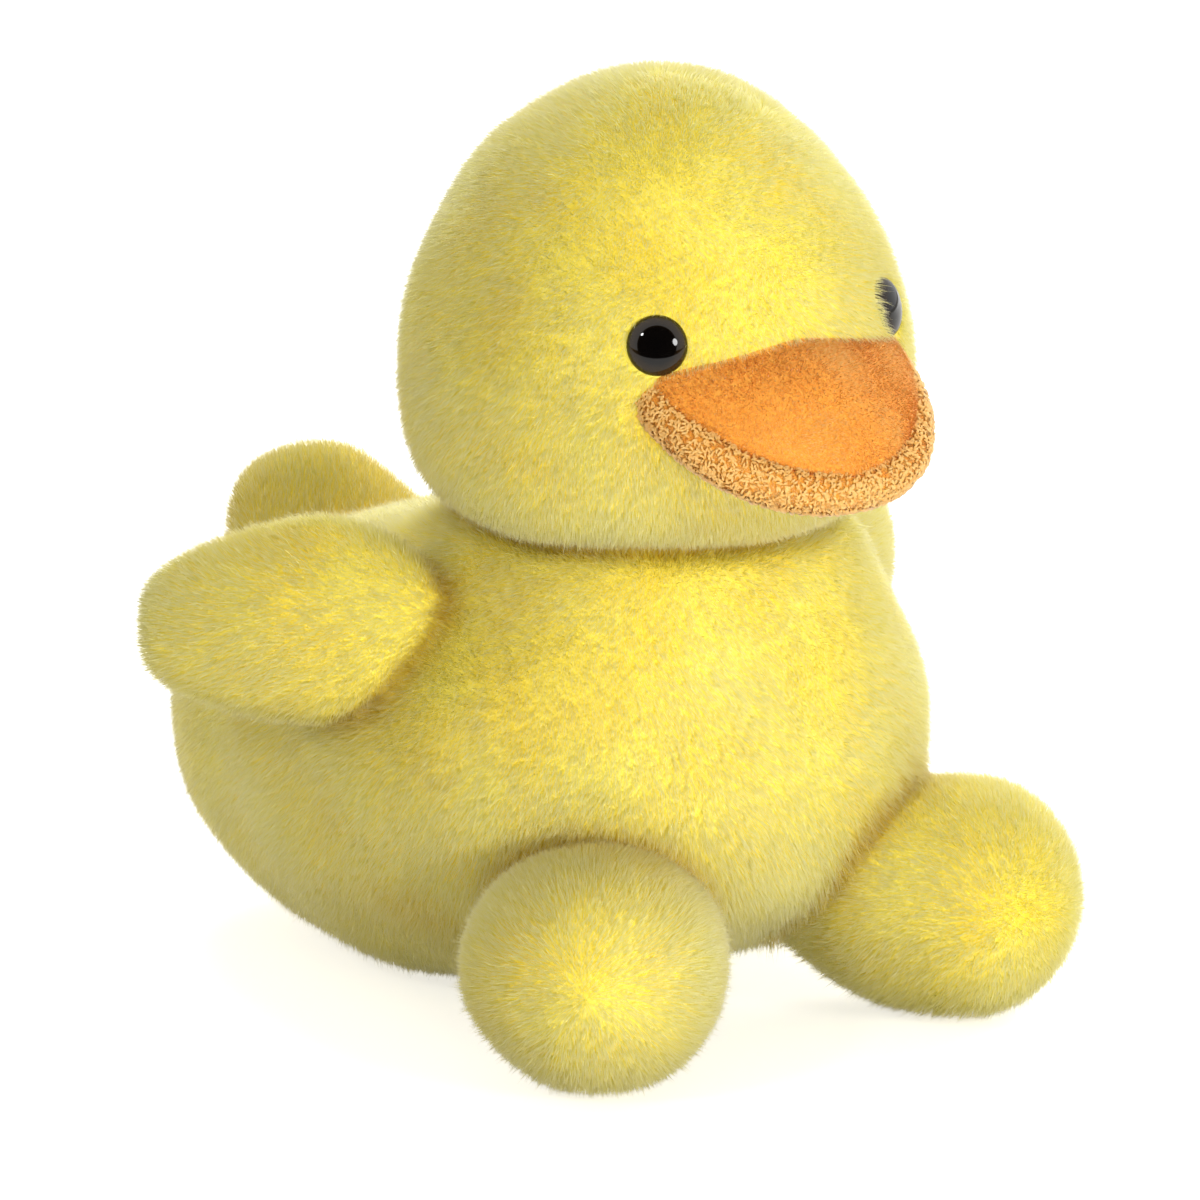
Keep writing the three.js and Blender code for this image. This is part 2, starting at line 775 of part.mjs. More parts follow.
for (const [name, form, tools, hinge] of [
  ["wing", wingForm, wingKeepOut, wingHinge],
  ["foot", footForm, footKeepOut, footHinge],
]) {
  duck.add(assembly(hinge, limbPieces(`${name}_left`, form, tools)));
  const rightPieces = limbPieces(`${name}_right`, form, tools).map(([piece, geometry, material]) => [
    piece,
    mirrored(geometry),
    material,
  ]);
  duck.add(assembly(hinge.clone().multiply(new THREE.Vector3(-1, 1, 1)), rightPieces));
}
duck.add(assembly(tailHinge, limbPieces("tail", tailForm, tailKeepOut)));

// The frame's origin is under the middle of the duck, on the floor.
duck.updateMatrixWorld(true);
const extent = new THREE.Box3().setFromObject(duck, true);
duck.position.y = -(extent.min.y + extent.max.y) / 2;

export default duck;
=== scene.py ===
# %% [markdown]
# # A plush duck, dressed
# The CAD part gives the toy's places, sizes and joints. Here each stuffed piece gets its smooth cloth
# and its pile of short fibres. Lengths are written in millimetres, in the frame of the part's
# source, and turned to metres when a mesh is made.

# %% Frame
import math

import bpy
import numpy as np
from mathutils import Matrix, Vector


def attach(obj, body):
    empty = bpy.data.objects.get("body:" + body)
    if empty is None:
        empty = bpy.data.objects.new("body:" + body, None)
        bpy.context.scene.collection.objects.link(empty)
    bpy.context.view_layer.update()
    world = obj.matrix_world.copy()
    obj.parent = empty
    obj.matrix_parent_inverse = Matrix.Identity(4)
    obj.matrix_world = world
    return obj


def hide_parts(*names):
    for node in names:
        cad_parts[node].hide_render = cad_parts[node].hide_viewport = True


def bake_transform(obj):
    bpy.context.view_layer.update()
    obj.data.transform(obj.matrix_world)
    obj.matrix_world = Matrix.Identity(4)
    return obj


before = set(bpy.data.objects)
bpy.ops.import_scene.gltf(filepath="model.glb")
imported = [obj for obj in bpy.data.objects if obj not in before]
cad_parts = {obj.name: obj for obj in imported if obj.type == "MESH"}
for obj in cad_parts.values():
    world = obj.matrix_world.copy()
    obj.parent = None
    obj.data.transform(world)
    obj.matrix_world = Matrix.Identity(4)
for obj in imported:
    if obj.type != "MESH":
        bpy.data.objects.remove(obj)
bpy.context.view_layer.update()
MM = 0.001
SHIFT = np.array([0, -11.707, 0])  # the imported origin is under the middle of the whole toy

# %% [markdown]
# ## Camera
# The photograph looks a little down on the toy from its right front side. It was taken with a long
# lens from well back, so the lines hardly converge: a lens of 432 mm at 1.8 m sees 150 mm. The camera
# is placed by two angles and a distance, because each of them can be fitted by itself.

# %% Camera
VIEW_AZIMUTH, VIEW_ELEVATION = math.radians(-36), math.radians(14.5)
VIEW_DISTANCE, VIEW_WIDTH, SENSOR = 1800, 150, 36
AIM_HEIGHT, AIM_LEFT, AIM_DOWN = 55, 2.25, 4.375  # up the toy's middle, then across the picture
FARTHEST_SEEN = 50  # metres, past the edge of the table


def unit(v):
    v = np.asarray(v, float)
    return v / np.maximum(np.linalg.norm(v, axis=-1, keepdims=True), 1e-9)


back = np.array(
    [
        math.sin(VIEW_AZIMUTH) * math.cos(VIEW_ELEVATION),
        -math.cos(VIEW_AZIMUTH) * math.cos(VIEW_ELEVATION),
        math.sin(VIEW_ELEVATION),
    ]
)
right = np.array([math.cos(VIEW_AZIMUTH), math.sin(VIEW_AZIMUTH), 0])
up = np.cross(back, right)
aim = np.array([0, 0, AIM_HEIGHT]) + SHIFT - AIM_LEFT * right - AIM_DOWN * up
camera = bpy.data.objects.new("camera", bpy.data.cameras.new("camera"))
bpy.context.collection.objects.link(camera)
camera.data.sensor_width = SENSOR
camera.data.lens = SENSOR * VIEW_DISTANCE / VIEW_WIDTH
camera.data.clip_end = FARTHEST_SEEN
camera.matrix_world = Matrix.Translation(Vector((aim + VIEW_DISTANCE * back) * MM)) @ Matrix(
    np.stack([right, up, back], axis=1).tolist()
).to_4x4()
bpy.context.scene.camera = camera
bpy.context.scene.view_settings.view_transform = "Standard"
print("camera at", [round(v, 3) for v in camera.location], "lens", round(camera.data.lens))

# %% [markdown]
# ## Colours and nodes
# Every colour is an sRGB hex value, as a dye chart or a photograph gives it. Shaders reckon with
# linear light, so one function turns each colour to linear. Another adds a node with its settings
# and its links, and every material below is built from it.


# %% Colours and nodes
def linear(code):
    parts = [int(code[i : i + 2], 16) / 255 for i in (1, 3, 5)]
    return tuple(p / 12.92 if p <= 0.04045 else ((p + 0.055) / 1.055) ** 2.4 for p in parts) + (1.0,)


def node(tree, kind, settings=(), stops=(), **inputs):
    """Adds a node. settings are its own properties, and stops the places and colours of a ramp. Each
    input is a value or another node's socket; one that starts with _ is named by its number."""
    made = tree.nodes.new(kind)
    for name, value in dict(settings).items():
        setattr(made, name, value)
    elements = made.color_ramp.elements if stops else ()
    while len(elements) < len(stops):
        elements.new(0.5)
    for element, (place, code) in zip(elements, stops):
        element.position, element.color = place, linear(code)
    for name, value in inputs.items():
        key = int(name[1:]) if name[0] == "_" and name[1:].isdigit() else name.replace("_", " ")
        if isinstance(value, bpy.types.NodeSocket):
            tree.links.new(value, made.inputs[key])
        else:
            made.inputs[key].default_value = value
    return made


def material(name):
    made = bpy.data.materials.new(name)
    made.use_nodes = True
    made.node_tree.nodes.clear()
    return made, made.node_tree


print("lemon yellow in linear light:", [round(v, 3) for v in linear("#f9e04e")[:3]])

# %% [markdown]
# ## Lamps
# The toy is lit from the right of the picture by a soft lamp and, low down, by a white card that fills
# the shade under the head. Lamps above and behind make the pile's edges pale, and the wing's side falls
# into half shade. All are round area lamps, because a small lamp would give the pile a hard, speckled
# shade. Only the key and the fill are mirrored in the eyes, as two small lights.

# %% Lamps
LAMPS = [  # name, place (to the right, up and back), distance and size in metres, watts, mirrored
    ("key", (0.62, 0.12, 0.77), 1.5, 0.36, 5.2, True),
    ("fill", (-0.5, 0.38, 0.78), 1.6, 0.16, 2.6, True),
    ("rim", (-0.8, 0.45, -0.4), 1.5, 0.5, 2, False),
    ("back", (0.62, 0.5, -0.6), 1.5, 0.8, 12, False),
    ("top", (0.0, 0.93, -0.35), 1.5, 0.9, 12, False),
    ("white card", (0.35, -0.24, 0.9), 1.2, 0.2, 7.6, False),
]
for name, place, distance, size, watts, mirrored in LAMPS:
    light = bpy.data.lights.new(name, "AREA")
    light.shape, light.size, light.energy = "DISK", size, watts
    lamp = bpy.data.objects.new(name, light)
    bpy.context.collection.objects.link(lamp)
    toward = Vector(unit(place[0] * right + place[1] * up + place[2] * back))
    lamp.location = Vector(aim * MM) + distance * toward
    lamp.rotation_euler = toward.to_track_quat("Z", "Y").to_euler()
    lamp.visible_glossy = mirrored
print("lamps:", len(LAMPS))

# %% [markdown]
# ## White surround and table
# A product photograph is taken in a white tent. Its soft light comes from all round, a little warm
# after it has passed the cloth. The camera, and what mirrors, see plain white. The floor is a table of
# white paper that keeps the toy's shadow; what the camera sees of it is lifted to white.

# %% White surround
SURROUND_STRENGTH = 0.45
world = bpy.data.worlds.new("studio")
bpy.context.scene.world = world
world.use_nodes = True
tree = world.node_tree
tree.nodes.clear()
ray = node(tree, "ShaderNodeLightPath")
seen = ray.outputs["Is Camera Ray"]
for kind in ("Is Glossy Ray", "Is Transmission Ray"):
    also = {"operation": "ADD", "use_clamp": True}
    seen = node(tree, "ShaderNodeMath", also, _0=seen, _1=ray.outputs[kind]).outputs[0]
surround = node(tree, "ShaderNodeBackground", Color=linear("#fff8ea"), Strength=SURROUND_STRENGTH)
white = node(tree, "ShaderNodeBackground", Color=linear("#ffffff"), Strength=1.0)
shown = node(tree, "ShaderNodeMixShader", _0=seen, _1=surround.outputs[0], _2=white.outputs[0])
node(tree, "ShaderNodeOutputWorld", Surface=shown.outputs[0])
print("surround:", SURROUND_STRENGTH, "of white")

# %% White table
PAPER = (0.86, 0.86, 0.86, 1)  # matt paper gives back 86 % of the light
PAPER_LIFT, PAPER_GLOW = 0.66, 0.12  # light added for the camera, and for the toy
TABLE_SIZE = 30  # metres, so that its edge is out of the picture
paper, tree = material("white_paper_sweep")
ray = node(tree, "ShaderNodeLightPath")
matt = node(tree, "ShaderNodeBsdfDiffuse", Color=PAPER)
lift = node(tree, "ShaderNodeEmission", Color=linear("#ffffff"), Strength=PAPER_LIFT)
glow = node(tree, "ShaderNodeEmission", Color=linear("#ffffff"), Strength=PAPER_GLOW)
from_camera = ray.outputs["Is Camera Ray"]
lifted = node(tree, "ShaderNodeMixShader", _0=from_camera, _1=glow.outputs[0], _2=lift.outputs[0])
both = node(tree, "ShaderNodeAddShader", _0=matt.outputs[0], _1=lifted.outputs[0])
node(tree, "ShaderNodeOutputMaterial", Surface=both.outputs[0])
bpy.ops.mesh.primitive_plane_add(size=TABLE_SIZE, location=(0, 0, 0))
floor = bpy.context.object
floor.name = "floor"
floor.data.materials.append(paper)
print("table:", TABLE_SIZE, "m of white paper")

# %% [markdown]
# ## Black cloth for the eyes
# A photographer hangs black velvet where a glossy thing would mirror the white tent. Here one cloth
# hangs behind the camera and one lies before the table. They are switched off for all light but what
# mirrors, so that the pupils look black and the pile is lit as before.

# %% Black cloth
CURTAIN_RADIUS, CURTAIN_DISTANCE = 2.5, 2.6  # metres
CLOTH_SIZE, CLOTH_DISTANCE, CLOTH_HEIGHT = (5, 2.2, 1), 1.55, 0.001
black_cloth, tree = material("black_cloth")
black = node(tree, "ShaderNodeBsdfDiffuse", Color=(0.004, 0.004, 0.004, 1))
node(tree, "ShaderNodeOutputMaterial", Surface=black.outputs[0])
bpy.ops.mesh.primitive_circle_add(vertices=64, radius=CURTAIN_RADIUS, fill_type="NGON")
curtain = bpy.context.object
curtain.name = "black_curtain_behind_camera"
curtain.location = Vector(aim * MM) + CURTAIN_DISTANCE * Vector(back)
curtain.rotation_euler = Vector(back).to_track_quat("Z", "Y").to_euler()
bpy.ops.mesh.primitive_plane_add(size=1, location=(0, 0, CLOTH_HEIGHT))
ground = bpy.context.object
ground.name = "black_cloth_before_table"
ahead = unit(back * (1, 1, 0))
ground.scale = CLOTH_SIZE
ground.location = Vector((*(CLOTH_DISTANCE * ahead)[:2], CLOTH_HEIGHT))
ground.rotation_euler = (0, 0, math.atan2(ahead[1], ahead[0]) + math.pi / 2)
for thing in (curtain, ground):
    thing.data.materials.append(black_cloth)
    thing.visible_camera = thing.visible_diffuse = False
    thing.visible_shadow = thing.visible_transmission = False
print("black cloth: a curtain", 2 * CURTAIN_RADIUS, "m wide, and a cloth of", CLOTH_SIZE[:2], "m")

# %% [markdown]
# ## Stuffed forms
# A sewn and stuffed piece is a closed form that swells between its seams. Each one is given by rings
# across a line: how far along, where the ring's middle lies, and how far it reaches to each side.
# The rows are those of the part's source, so the cloth takes the place of its solid. One curve
# through the rows gives as many rings as the cloth needs. A sculpted mesh would do as well, but it
# couldn't follow a size that changes in the source.


# %% Smooth rows
def smooth(rows, count):
    """Rows read at count + 1 even places along a Catmull-Rom curve through them."""
    rows = np.asarray(rows, float)
    last = len(rows) - 1
    place = np.linspace(0, last, count + 1)
    i = np.minimum(place.astype(int), last - 1)
    w = (place - i)[:, None]
    a, b, c, d = (rows[np.clip(i + k, 0, last)] for k in (-1, 0, 1, 2))
    va, vb = (c - a) / 2, (d - b) / 2
    return (2 * b - 2 * c + va + vb) * w**3 + (-3 * b + 3 * c - 2 * va - vb) * w**2 + va * w + b


DRIFT_WAVES = 9
WAVE_SHARES = (1.2, 3.2)  # the shortest and longest wave, as shares of a drift's size


def drift(points, size, seed):
    """Three smooth random values at each point, about -1 to 1, that change over a distance of size."""
    rng = np.random.default_rng(seed)
    total = 0
    for _ in range(DRIFT_WAVES):
        wave = unit(rng.normal(size=3)) * 2 * math.pi / (size * rng.uniform(*WAVE_SHARES))
        total = total + np.sin((points @ wave)[..., None] + rng.uniform(0, 6.28, 3))
    return total / 3


print("three rows read at five places:", smooth([[0], [1], [0]], 4).ravel())

# %% [markdown]
# ## A stuffed form's shape
# The rings bulge between a circle and a rounded box, as fullness says: a tight ball is near 2. Every
# point knows which way is out, and any other point can be asked how far outside the form it lies. The
# pile uses that to leave out fibres that would grow inside a neighbour.

# %% Stuffed form
LEAST_REACH = 0.3  # a ring's end is never reckoned finer than this
LUMP_SIZE = 12  # how wide the soft lumps of hand-stuffed fill are


class Stuffed:
    """A closed form: rows of [along, middle, half-width, reach up, reach down] on three axes."""

    def __init__(self, origin, side, high, onward, rows, fullness=2.0, **more):
        self.origin, self.side, self.high, self.onward = (
            np.asarray(v, float) for v in (origin, side, high, onward)
        )
        self.fullness = fullness
        self.shape(rows, **more)

    def shape(self, rows, rings=120, sides=144, lumps=0.0, seed=1):
        self.rows = smooth(rows, rings) if len(rows) < rings else np.asarray(rows, float)
        angle = np.linspace(0, 2 * math.pi, sides, endpoint=False)
        bulge = lambda v: np.sign(v) * np.abs(v) ** (2 / self.fullness)
        across, rise = bulge(np.cos(angle)), bulge(np.sin(angle))
        far, middle, half, above, below = (self.rows[:, k, None] for k in range(5))
        half, above, below = (np.maximum(v, 0) for v in (half, above, below))
        height = middle + np.where(rise > 0, above * rise, below * rise)
        self.points = (
            self.origin
            + (half * across)[..., None] * self.side
            + height[..., None] * self.high
            + (far + 0 * across)[..., None] * self.onward
        )
        self.turn_out()
        if lumps:
            self.points += self.normals * lumps * drift(self.points, LUMP_SIZE, seed)[..., :1]
            self.turn_out()

    def turn_out(self):
        """Finds the normals, and turns them to point out of the form."""
        around = np.roll(self.points, -1, 1) - np.roll(self.points, 1, 1)
        ahead = np.gradient(self.points, axis=0)
        normals = np.cross(around, ahead)
        for end, near in ((0, 1), (-1, -2)):
            normals[end] = normals[near].mean(0)
        half_way = len(normals) // 2
        from_middle = self.points[half_way] - self.points.mean((0, 1))
        out = (normals[half_way] * from_middle).sum()
        self.normals = unit(normals) * (1 if out > 0 else -1)

    def depth_outside(self, points):
        """About how far points lie outside the form, in mm; below zero inside."""
        local = points - self.origin
        far, x, y = local @ self.onward, local @ self.side, local @ self.high
        rows = self.rows[np.argsort(self.rows[:, 0], kind="stable")]
        middle, half, above, below = (np.interp(far, rows[:, 0], rows[:, k]) for k in range(1, 5))
        y = y - middle
        reach = np.where(y > 0, above, below)
        share = (np.abs(x) / np.maximum(half, LEAST_REACH)) ** self.fullness
        share = share + (np.abs(y) / np.maximum(reach, LEAST_REACH)) ** self.fullness
        share = np.maximum(share ** (1 / self.fullness), 1e-6)
        radius = np.hypot(x, y) / share
        side_gap = (share - 1) * radius
        end_gap = np.maximum(rows[0, 0] - far, far - rows[-1, 0])
        beyond = np.hypot(np.maximum(side_gap, 0), end_gap)
        return np.where(end_gap > 0, beyond, np.maximum(side_gap, end_gap))


ball_rows = [[-9, 0, 0, 0, 0], [0, 0, 9, 9, 9], [9, 0, 0, 0, 0]]
ball = Stuffed((0, 0, 0), (1, 0, 0), (0, 1, 0), (0, 0, 1), ball_rows)
print("a trial ball of 18 mm is", np.ptp(ball.points, axis=(0, 1)).round(1), "mm")

# %% [markdown]
# ## Body
# The body is an egg that lies backwards on its seat, drawn in at the neck where the head is sewn on.
# A lathe would turn an even egg, but this one reaches further behind than in front, so each ring has
# its own reach each way. Its cloth is knitted backing under a pile of fibres: the cloth lies a little
# inside the solid, and the fibres fill the rest.

# %% Body form
BODY_HEIGHT, BODY_HALF, BODY_FRONT, BODY_BACK, PRESS = 63.5, 39.2, 37, 74, 0.5
body_levels = [  # height, half-width, widest place, front, back, as shares
    [0, 0, 0.34, -0.65, 0.34],
    [0.002, 0.31, 0.34, -0.38, 0.5],
    [0.014, 0.42, 0.325, -0.22, 0.57],
    [0.07, 0.62, 0.3, 0.19, 0.735],
    [0.148, 0.76, 0.26, 0.54, 0.875],
    [0.273, 0.905, 0.2, 0.85, 0.98],
    [0.43, 0.985, 0.11, 0.985, 1.008],
    [0.57, 1, 0.055, 1, 0.975],
    [0.695, 0.935, 0, 0.975, 0.88],
    [0.79, 0.835, -0.035, 0.94, 0.715],
    [0.867, 0.745, -0.056, 0.905, 0.535],
    [0.928, 0.69, -0.07, 0.873, 0.39],
    [0.972, 0.64, -0.0743, 0.83, 0.28],
    [1, 0.574, -0.0743, 0.757, 0.23],
    [1.06, 0.4, -0.0743, 0.55, 0.12],
    [1.09, 0, -0.0743, 0.1486, -0.0743],
]


def body_row(h, w, m, f, b):
    reach_back, reach_front = (b - m) * BODY_BACK, f * BODY_FRONT + m * BODY_BACK
    return [h * (BODY_HEIGHT + PRESS), m * BODY_BACK, w * BODY_HALF, reach_back, reach_front]


body = Stuffed(
    SHIFT,
    (1, 0, 0),
    (0, 1, 0),
    (0, 0, 1),
    [body_row(*level) for level in body_levels],
    fullness=2.25,
    rings=150,
    sides=200,
    lumps=0.3,
    seed=3,
)
print("body", np.ptp(body.points, axis=(0, 1)).round(1), "mm")

# %% [markdown]
# ## Head
# The head is a taller ball that sits on the neck seam and nods there. Its fill is tight, so it keeps
# its round outline, with only soft hand-stuffed lumps. Cloth simulation could inflate it from its
# pattern, but such a tight ball comes out as round as its rows say, and the rows can be measured.

# %% Head form
HEAD_BOTTOM, HEAD_HEIGHT, HEAD_FORWARD = 62.5, 57.6, 8
HEAD_HALF, HEAD_FRONT, HEAD_BACK = 31.6, 31.6, 31.8
head_levels = [  # height, half-width, front, back, as shares
    [0, 0, 0, 0],
    [0.009, 0.54, 0.48, 0.56],
    [0.043, 0.79, 0.74, 0.815],
    [0.104, 0.905, 0.87, 0.91],
    [0.182, 0.968, 0.943, 0.972],
    [0.286, 0.997, 0.992, 0.997],
    [0.408, 0.997, 1, 0.992],
    [0.495, 0.968, 0.98, 0.968],
    [0.582, 0.915, 0.928, 0.92],
    [0.672, 0.845, 0.853, 0.85],
    [0.762, 0.752, 0.757, 0.755],
    [0.851, 0.625, 0.63, 0.63],
    [0.929, 0.443, 0.446, 0.446],
    [0.98, 0.236, 0.238, 0.238],
    [1, 0, 0, 0],
]
head = Stuffed(
    SHIFT + (0, -HEAD_FORWARD, HEAD_BOTTOM),
    (1, 0, 0),
    (0, 1, 0),
    (0, 0, 1),
    [[h * HEAD_HEIGHT, 0, w * HEAD_HALF, b * HEAD_BACK, f * HEAD_FRONT] for h, w, f, b in head_levels],
    fullness=2.08,
    rings=150,
    sides=200,
    lumps=0.25,
    seed=5,
)
print("head", np.ptp(head.points, axis=(0, 1)).round(1), "mm")

# %% [markdown]
# ## Wings, feet and tail
# Each limb is a small bag, sewn shut round its tip, turned, filled and sewn to the body by its open
# root. It swells towards the tip like a drop, and its root runs on into the body's pile. Its rows
# come from one formula: a round end whose bluntness is a power of the sine, times the shares of width
# and thickness that the pattern gives along it.


# %% Limb forms
def along(places, shares):
    """Shares given at even places, read as one smooth curve."""
    fine = np.linspace(0, 1, 241)
    return np.interp(places, fine, smooth([[v] for v in shares], 240)[:, 0])


def limb(root, onward, wide, length, half, thick, wide_shares, thick_shares, bluntness, **more):
    onward, wide = unit(onward), unit(wide)
    rows = []
    for angle in np.linspace(0, math.pi, 121):
        share, end_share = (1 - math.cos(angle)) / 2, math.sin(angle) ** bluntness
        reach = thick * end_share * along(share, thick_shares)
        rows.append([length * share, 0, half * end_share * along(share, wide_shares), reach, reach])
    return Stuffed(root + SHIFT, wide, np.cross(onward, wide), onward, rows, sides=144, **more)


WING_SWEEP, WING_DROOP, WING_LEAN = math.radians(48.5), math.radians(5.7), math.radians(22)
WING_OUT, WING_BACK, WING_HEIGHT, WING_IN_BODY = 31.8, 1.4, 53, 8
FOOT_SPLAY, FOOT_REACH, FOOT_LENGTH, FOOT_HEIGHT = math.radians(40), 59.2, 44.6, 15.0
TAIL_RISE, TAIL_BACK, TAIL_HEIGHT, TAIL_IN_BODY = math.radians(48), 56.3, 40, 10
limbs = {}
for side_name, side in (("left", 1), ("right", -1)):
    level = np.array([side * math.cos(WING_SWEEP), math.sin(WING_SWEEP), 0])
    onward = math.cos(WING_DROOP) * level - (0, 0, math.sin(WING_DROOP))
    face = np.array([side * math.sin(WING_SWEEP), -math.cos(WING_SWEEP), 0])
    rise = math.sin(WING_DROOP) * level + (0, 0, math.cos(WING_DROOP))
    limbs["wing_" + side_name] = limb(
        np.array([side * WING_OUT, WING_BACK, WING_HEIGHT]) - WING_IN_BODY * onward,
        onward,
        math.cos(WING_LEAN) * rise - math.sin(WING_LEAN) * face,
        length=41.7,
        half=12.9,
        thick=7.6,
        wide_shares=[0.45, 0.845, 1.03, 0.98, 0.895, 0.83],
        thick_shares=[0.6, 0.82, 0.98, 1.06, 0.98, 0.86],
        bluntness=0.54,
        lumps=0.15,
        seed=11 + side,
    )
    onward = np.array([side * math.sin(FOOT_SPLAY), -math.cos(FOOT_SPLAY), 0])
    limbs["foot_" + side_name] = limb(
        (FOOT_REACH - FOOT_LENGTH) * onward + (0, 0, FOOT_HEIGHT),
        onward,
        np.cross(onward, (0, 0, 1)),
        length=FOOT_LENGTH,
        half=16.4,
        thick=15.5,
        wide_shares=[0.55, 0.72, 0.92, 1.01, 1.14, 1.22],
        thick_shares=[0.45, 0.65, 0.89, 1, 1.14, 1.22],
        bluntness=1,
        lumps=0.25,
        seed=21 + side,
    )
onward = np.array([0, math.cos(TAIL_RISE), math.sin(TAIL_RISE)])
limbs["tail"] = limb(
    np.array([0, TAIL_BACK, TAIL_HEIGHT]) - TAIL_IN_BODY * onward,
    onward,
    (1, 0, 0),
    length=30.7,
    half=14.6,
    thick=7.2,
    wide_shares=[1.36, 1.3, 1.2, 1.08, 0.96, 0.88],
    thick_shares=[1.3, 1.25, 1.1, 0.95, 0.85, 0.8],
    bluntness=0.6,
    lumps=0.5,
    seed=31,
)
for name, form in limbs.items():
    print(name, np.ptp(form.points, axis=(0, 1)).round(1), "mm")

# %% [markdown]
# ## Bill
# The bill is two pads of orange velour. The lower one is dished, with a rolled rim, and the upper one
# lies in the dish like a soft tongue. Both share one frame that points forward and down. A bevel could
# round a flat plate's edge, but not roll it up over a dish, so the lower pad's rows go out under it,
# round the roll, and down into the dish.

# %% Lower bill form
BILL_PITCH = math.radians(31.5)
bill_origin = np.array([0, -31.3, 86.7]) + SHIFT
bill_side = np.array([1.0, 0, 0])
bill_back = np.array([0, math.cos(BILL_PITCH), math.sin(BILL_PITCH)])
bill_up = np.array([0, -math.sin(BILL_PITCH), math.cos(BILL_PITCH)])
RIM_HALF, RIM_FRONT, RIM_BACK = 20.3, 23.4, 9
RIM_RADIUS, RIM_DROP, RIM_TURN = 2.9, 1.65, math.radians(120)
DISH = 0.5  # the height of the dish's bottom in the bill's frame
DISH_INSET = 3.2  # where the dish's bottom starts, in radii of the roll


def rim_row(height, share, inset):
    reach = [share * (size - inset) for size in (RIM_HALF, RIM_BACK, RIM_FRONT)]
    return [height - RIM_DROP, 0, *reach]


rim_rows = [rim_row(-RIM_RADIUS, s, RIM_RADIUS) for s in np.linspace(0, 1, 12, endpoint=False)]
for angle in np.linspace(-math.pi / 2, RIM_TURN, 44):
    rim_rows.append(rim_row(RIM_RADIUS * math.sin(angle), 1, RIM_RADIUS * (1 - math.cos(angle))))
dish_depth = RIM_RADIUS - RIM_DROP
dish_line = [  # height, and how far in from the rim's edge, in radii of the roll
    [RIM_RADIUS * math.sin(RIM_TURN), 1 - math.cos(RIM_TURN)],
    [DISH + dish_depth * 0.42, 1.9],
    [DISH + dish_depth * 0.06, 2.6],
    [DISH, DISH_INSET],
]
rim_rows += [rim_row(h, 1, inset * RIM_RADIUS) for h, inset in smooth(dish_line, 12)[1:]]
rim_rows += [rim_row(DISH, s, DISH_INSET * RIM_RADIUS * s) for s in np.linspace(0.9, 0, 8)]
bill_lower = Stuffed(
    bill_origin, bill_side, bill_back, bill_up, rim_rows, fullness=2.17, rings=1, sides=180
)
print("lower bill", np.ptp(bill_lower.points, axis=(0, 1)).round(1), "mm")

# %% [markdown]
# ## Upper bill
# The upper pad is a low dome whose front slopes down to the tip like a slide. A ball scaled flat would
# have its top in the middle, so each ring is also shorter in front and moved back as it rises.

# %% Upper bill form
UPPER_HEIGHT, UPPER_LEAN, UPPER_HALF, UPPER_BACK, UPPER_FRONT = 9, 8, 20.7, 9, 21.3
upper_levels = [  # height, half-width, reach to the front, as shares
    [-0.3, 0, 0],
    [-0.28, 0.5, 0.5],
    [-0.18, 0.84, 0.84],
    [0.02, 0.95, 0.97],
    [0.2, 0.916, 1],
    [0.4, 0.858, 0.95],
    [0.6, 0.699, 0.83],
    [0.78, 0.477, 0.65],
    [0.91, 0.263, 0.43],
    [0.98, 0.1, 0.2],
    [1, 0, 0],
]
upper_rows = []
for height, wide, ahead in np.maximum(smooth(upper_levels, 90), [-1, 0, 0]):
    lean = max(height, 0) ** 2 * UPPER_LEAN
    reach_back, reach_front = ahead * (UPPER_BACK + lean), ahead * (UPPER_FRONT - lean)
    along_up = height * UPPER_HEIGHT - RIM_DROP + DISH
    upper_rows.append([along_up, -lean, wide * UPPER_HALF, reach_back, reach_front])
bill_upper = Stuffed(
    bill_origin, bill_side, bill_back, bill_up, upper_rows, fullness=1.81, rings=1, sides=150
)
bill_forms = [bill_lower, bill_upper]
print("upper bill", np.ptp(bill_upper.points, axis=(0, 1)).round(1), "mm")

# %% [markdown]
# ## Cloth meshes
# The cloth is a grid of rings and sides, joined at its two ends. It is made from the form's rings, and
# not from the CAD mesh, whose facets would show. It can lie a little inside the form, so that the pile
# that stands on it reaches the form's real size.


# %% Cloth maker
def mesh_object(name, vertices, faces, finish):
    mesh = bpy.data.meshes.new(name)
    mesh.from_pydata((np.asarray(vertices) * MM).tolist(), [], [list(face) for face in faces])
    mesh.update()
    mesh.polygons.foreach_set("use_smooth", np.ones(len(mesh.polygons), bool))
    made = bpy.data.objects.new(name, mesh)
    bpy.context.collection.objects.link(made)
    mesh.materials.append(finish)
    return made


def cloth(name, form, inset, finish):
    points = form.points - inset * form.normals
    rings, sides = points.shape[:2]
    vertices = np.vstack([points[0].mean(0), points[1:-1].reshape(-1, 3), points[-1].mean(0)])
    index = 1 + np.arange((rings - 2) * sides).reshape(-1, sides)
    beside = np.roll(index, -1, 1)
    quads = np.stack([index[:-1], beside[:-1], beside[1:], index[1:]], -1).reshape(-1, 4)
    end = len(vertices) - 1
    first = [[0, int(j), int(i)] for i, j in zip(index[0], beside[0])]
    last = [[end, int(i), int(j)] for i, j in zip(index[-1], beside[-1])]
    faces = quads.tolist() + first + last
    one = vertices[faces[0]]
    if np.dot(np.cross(one[1] - one[0], one[2] - one[0]), form.normals[1, 0]) < 0:
        faces = [face[::-1] for face in faces]
    return mesh_object(name, vertices, faces, finish)


print("the body's cloth will have", body.points[1:-1, :, 0].size + 2, "vertices")

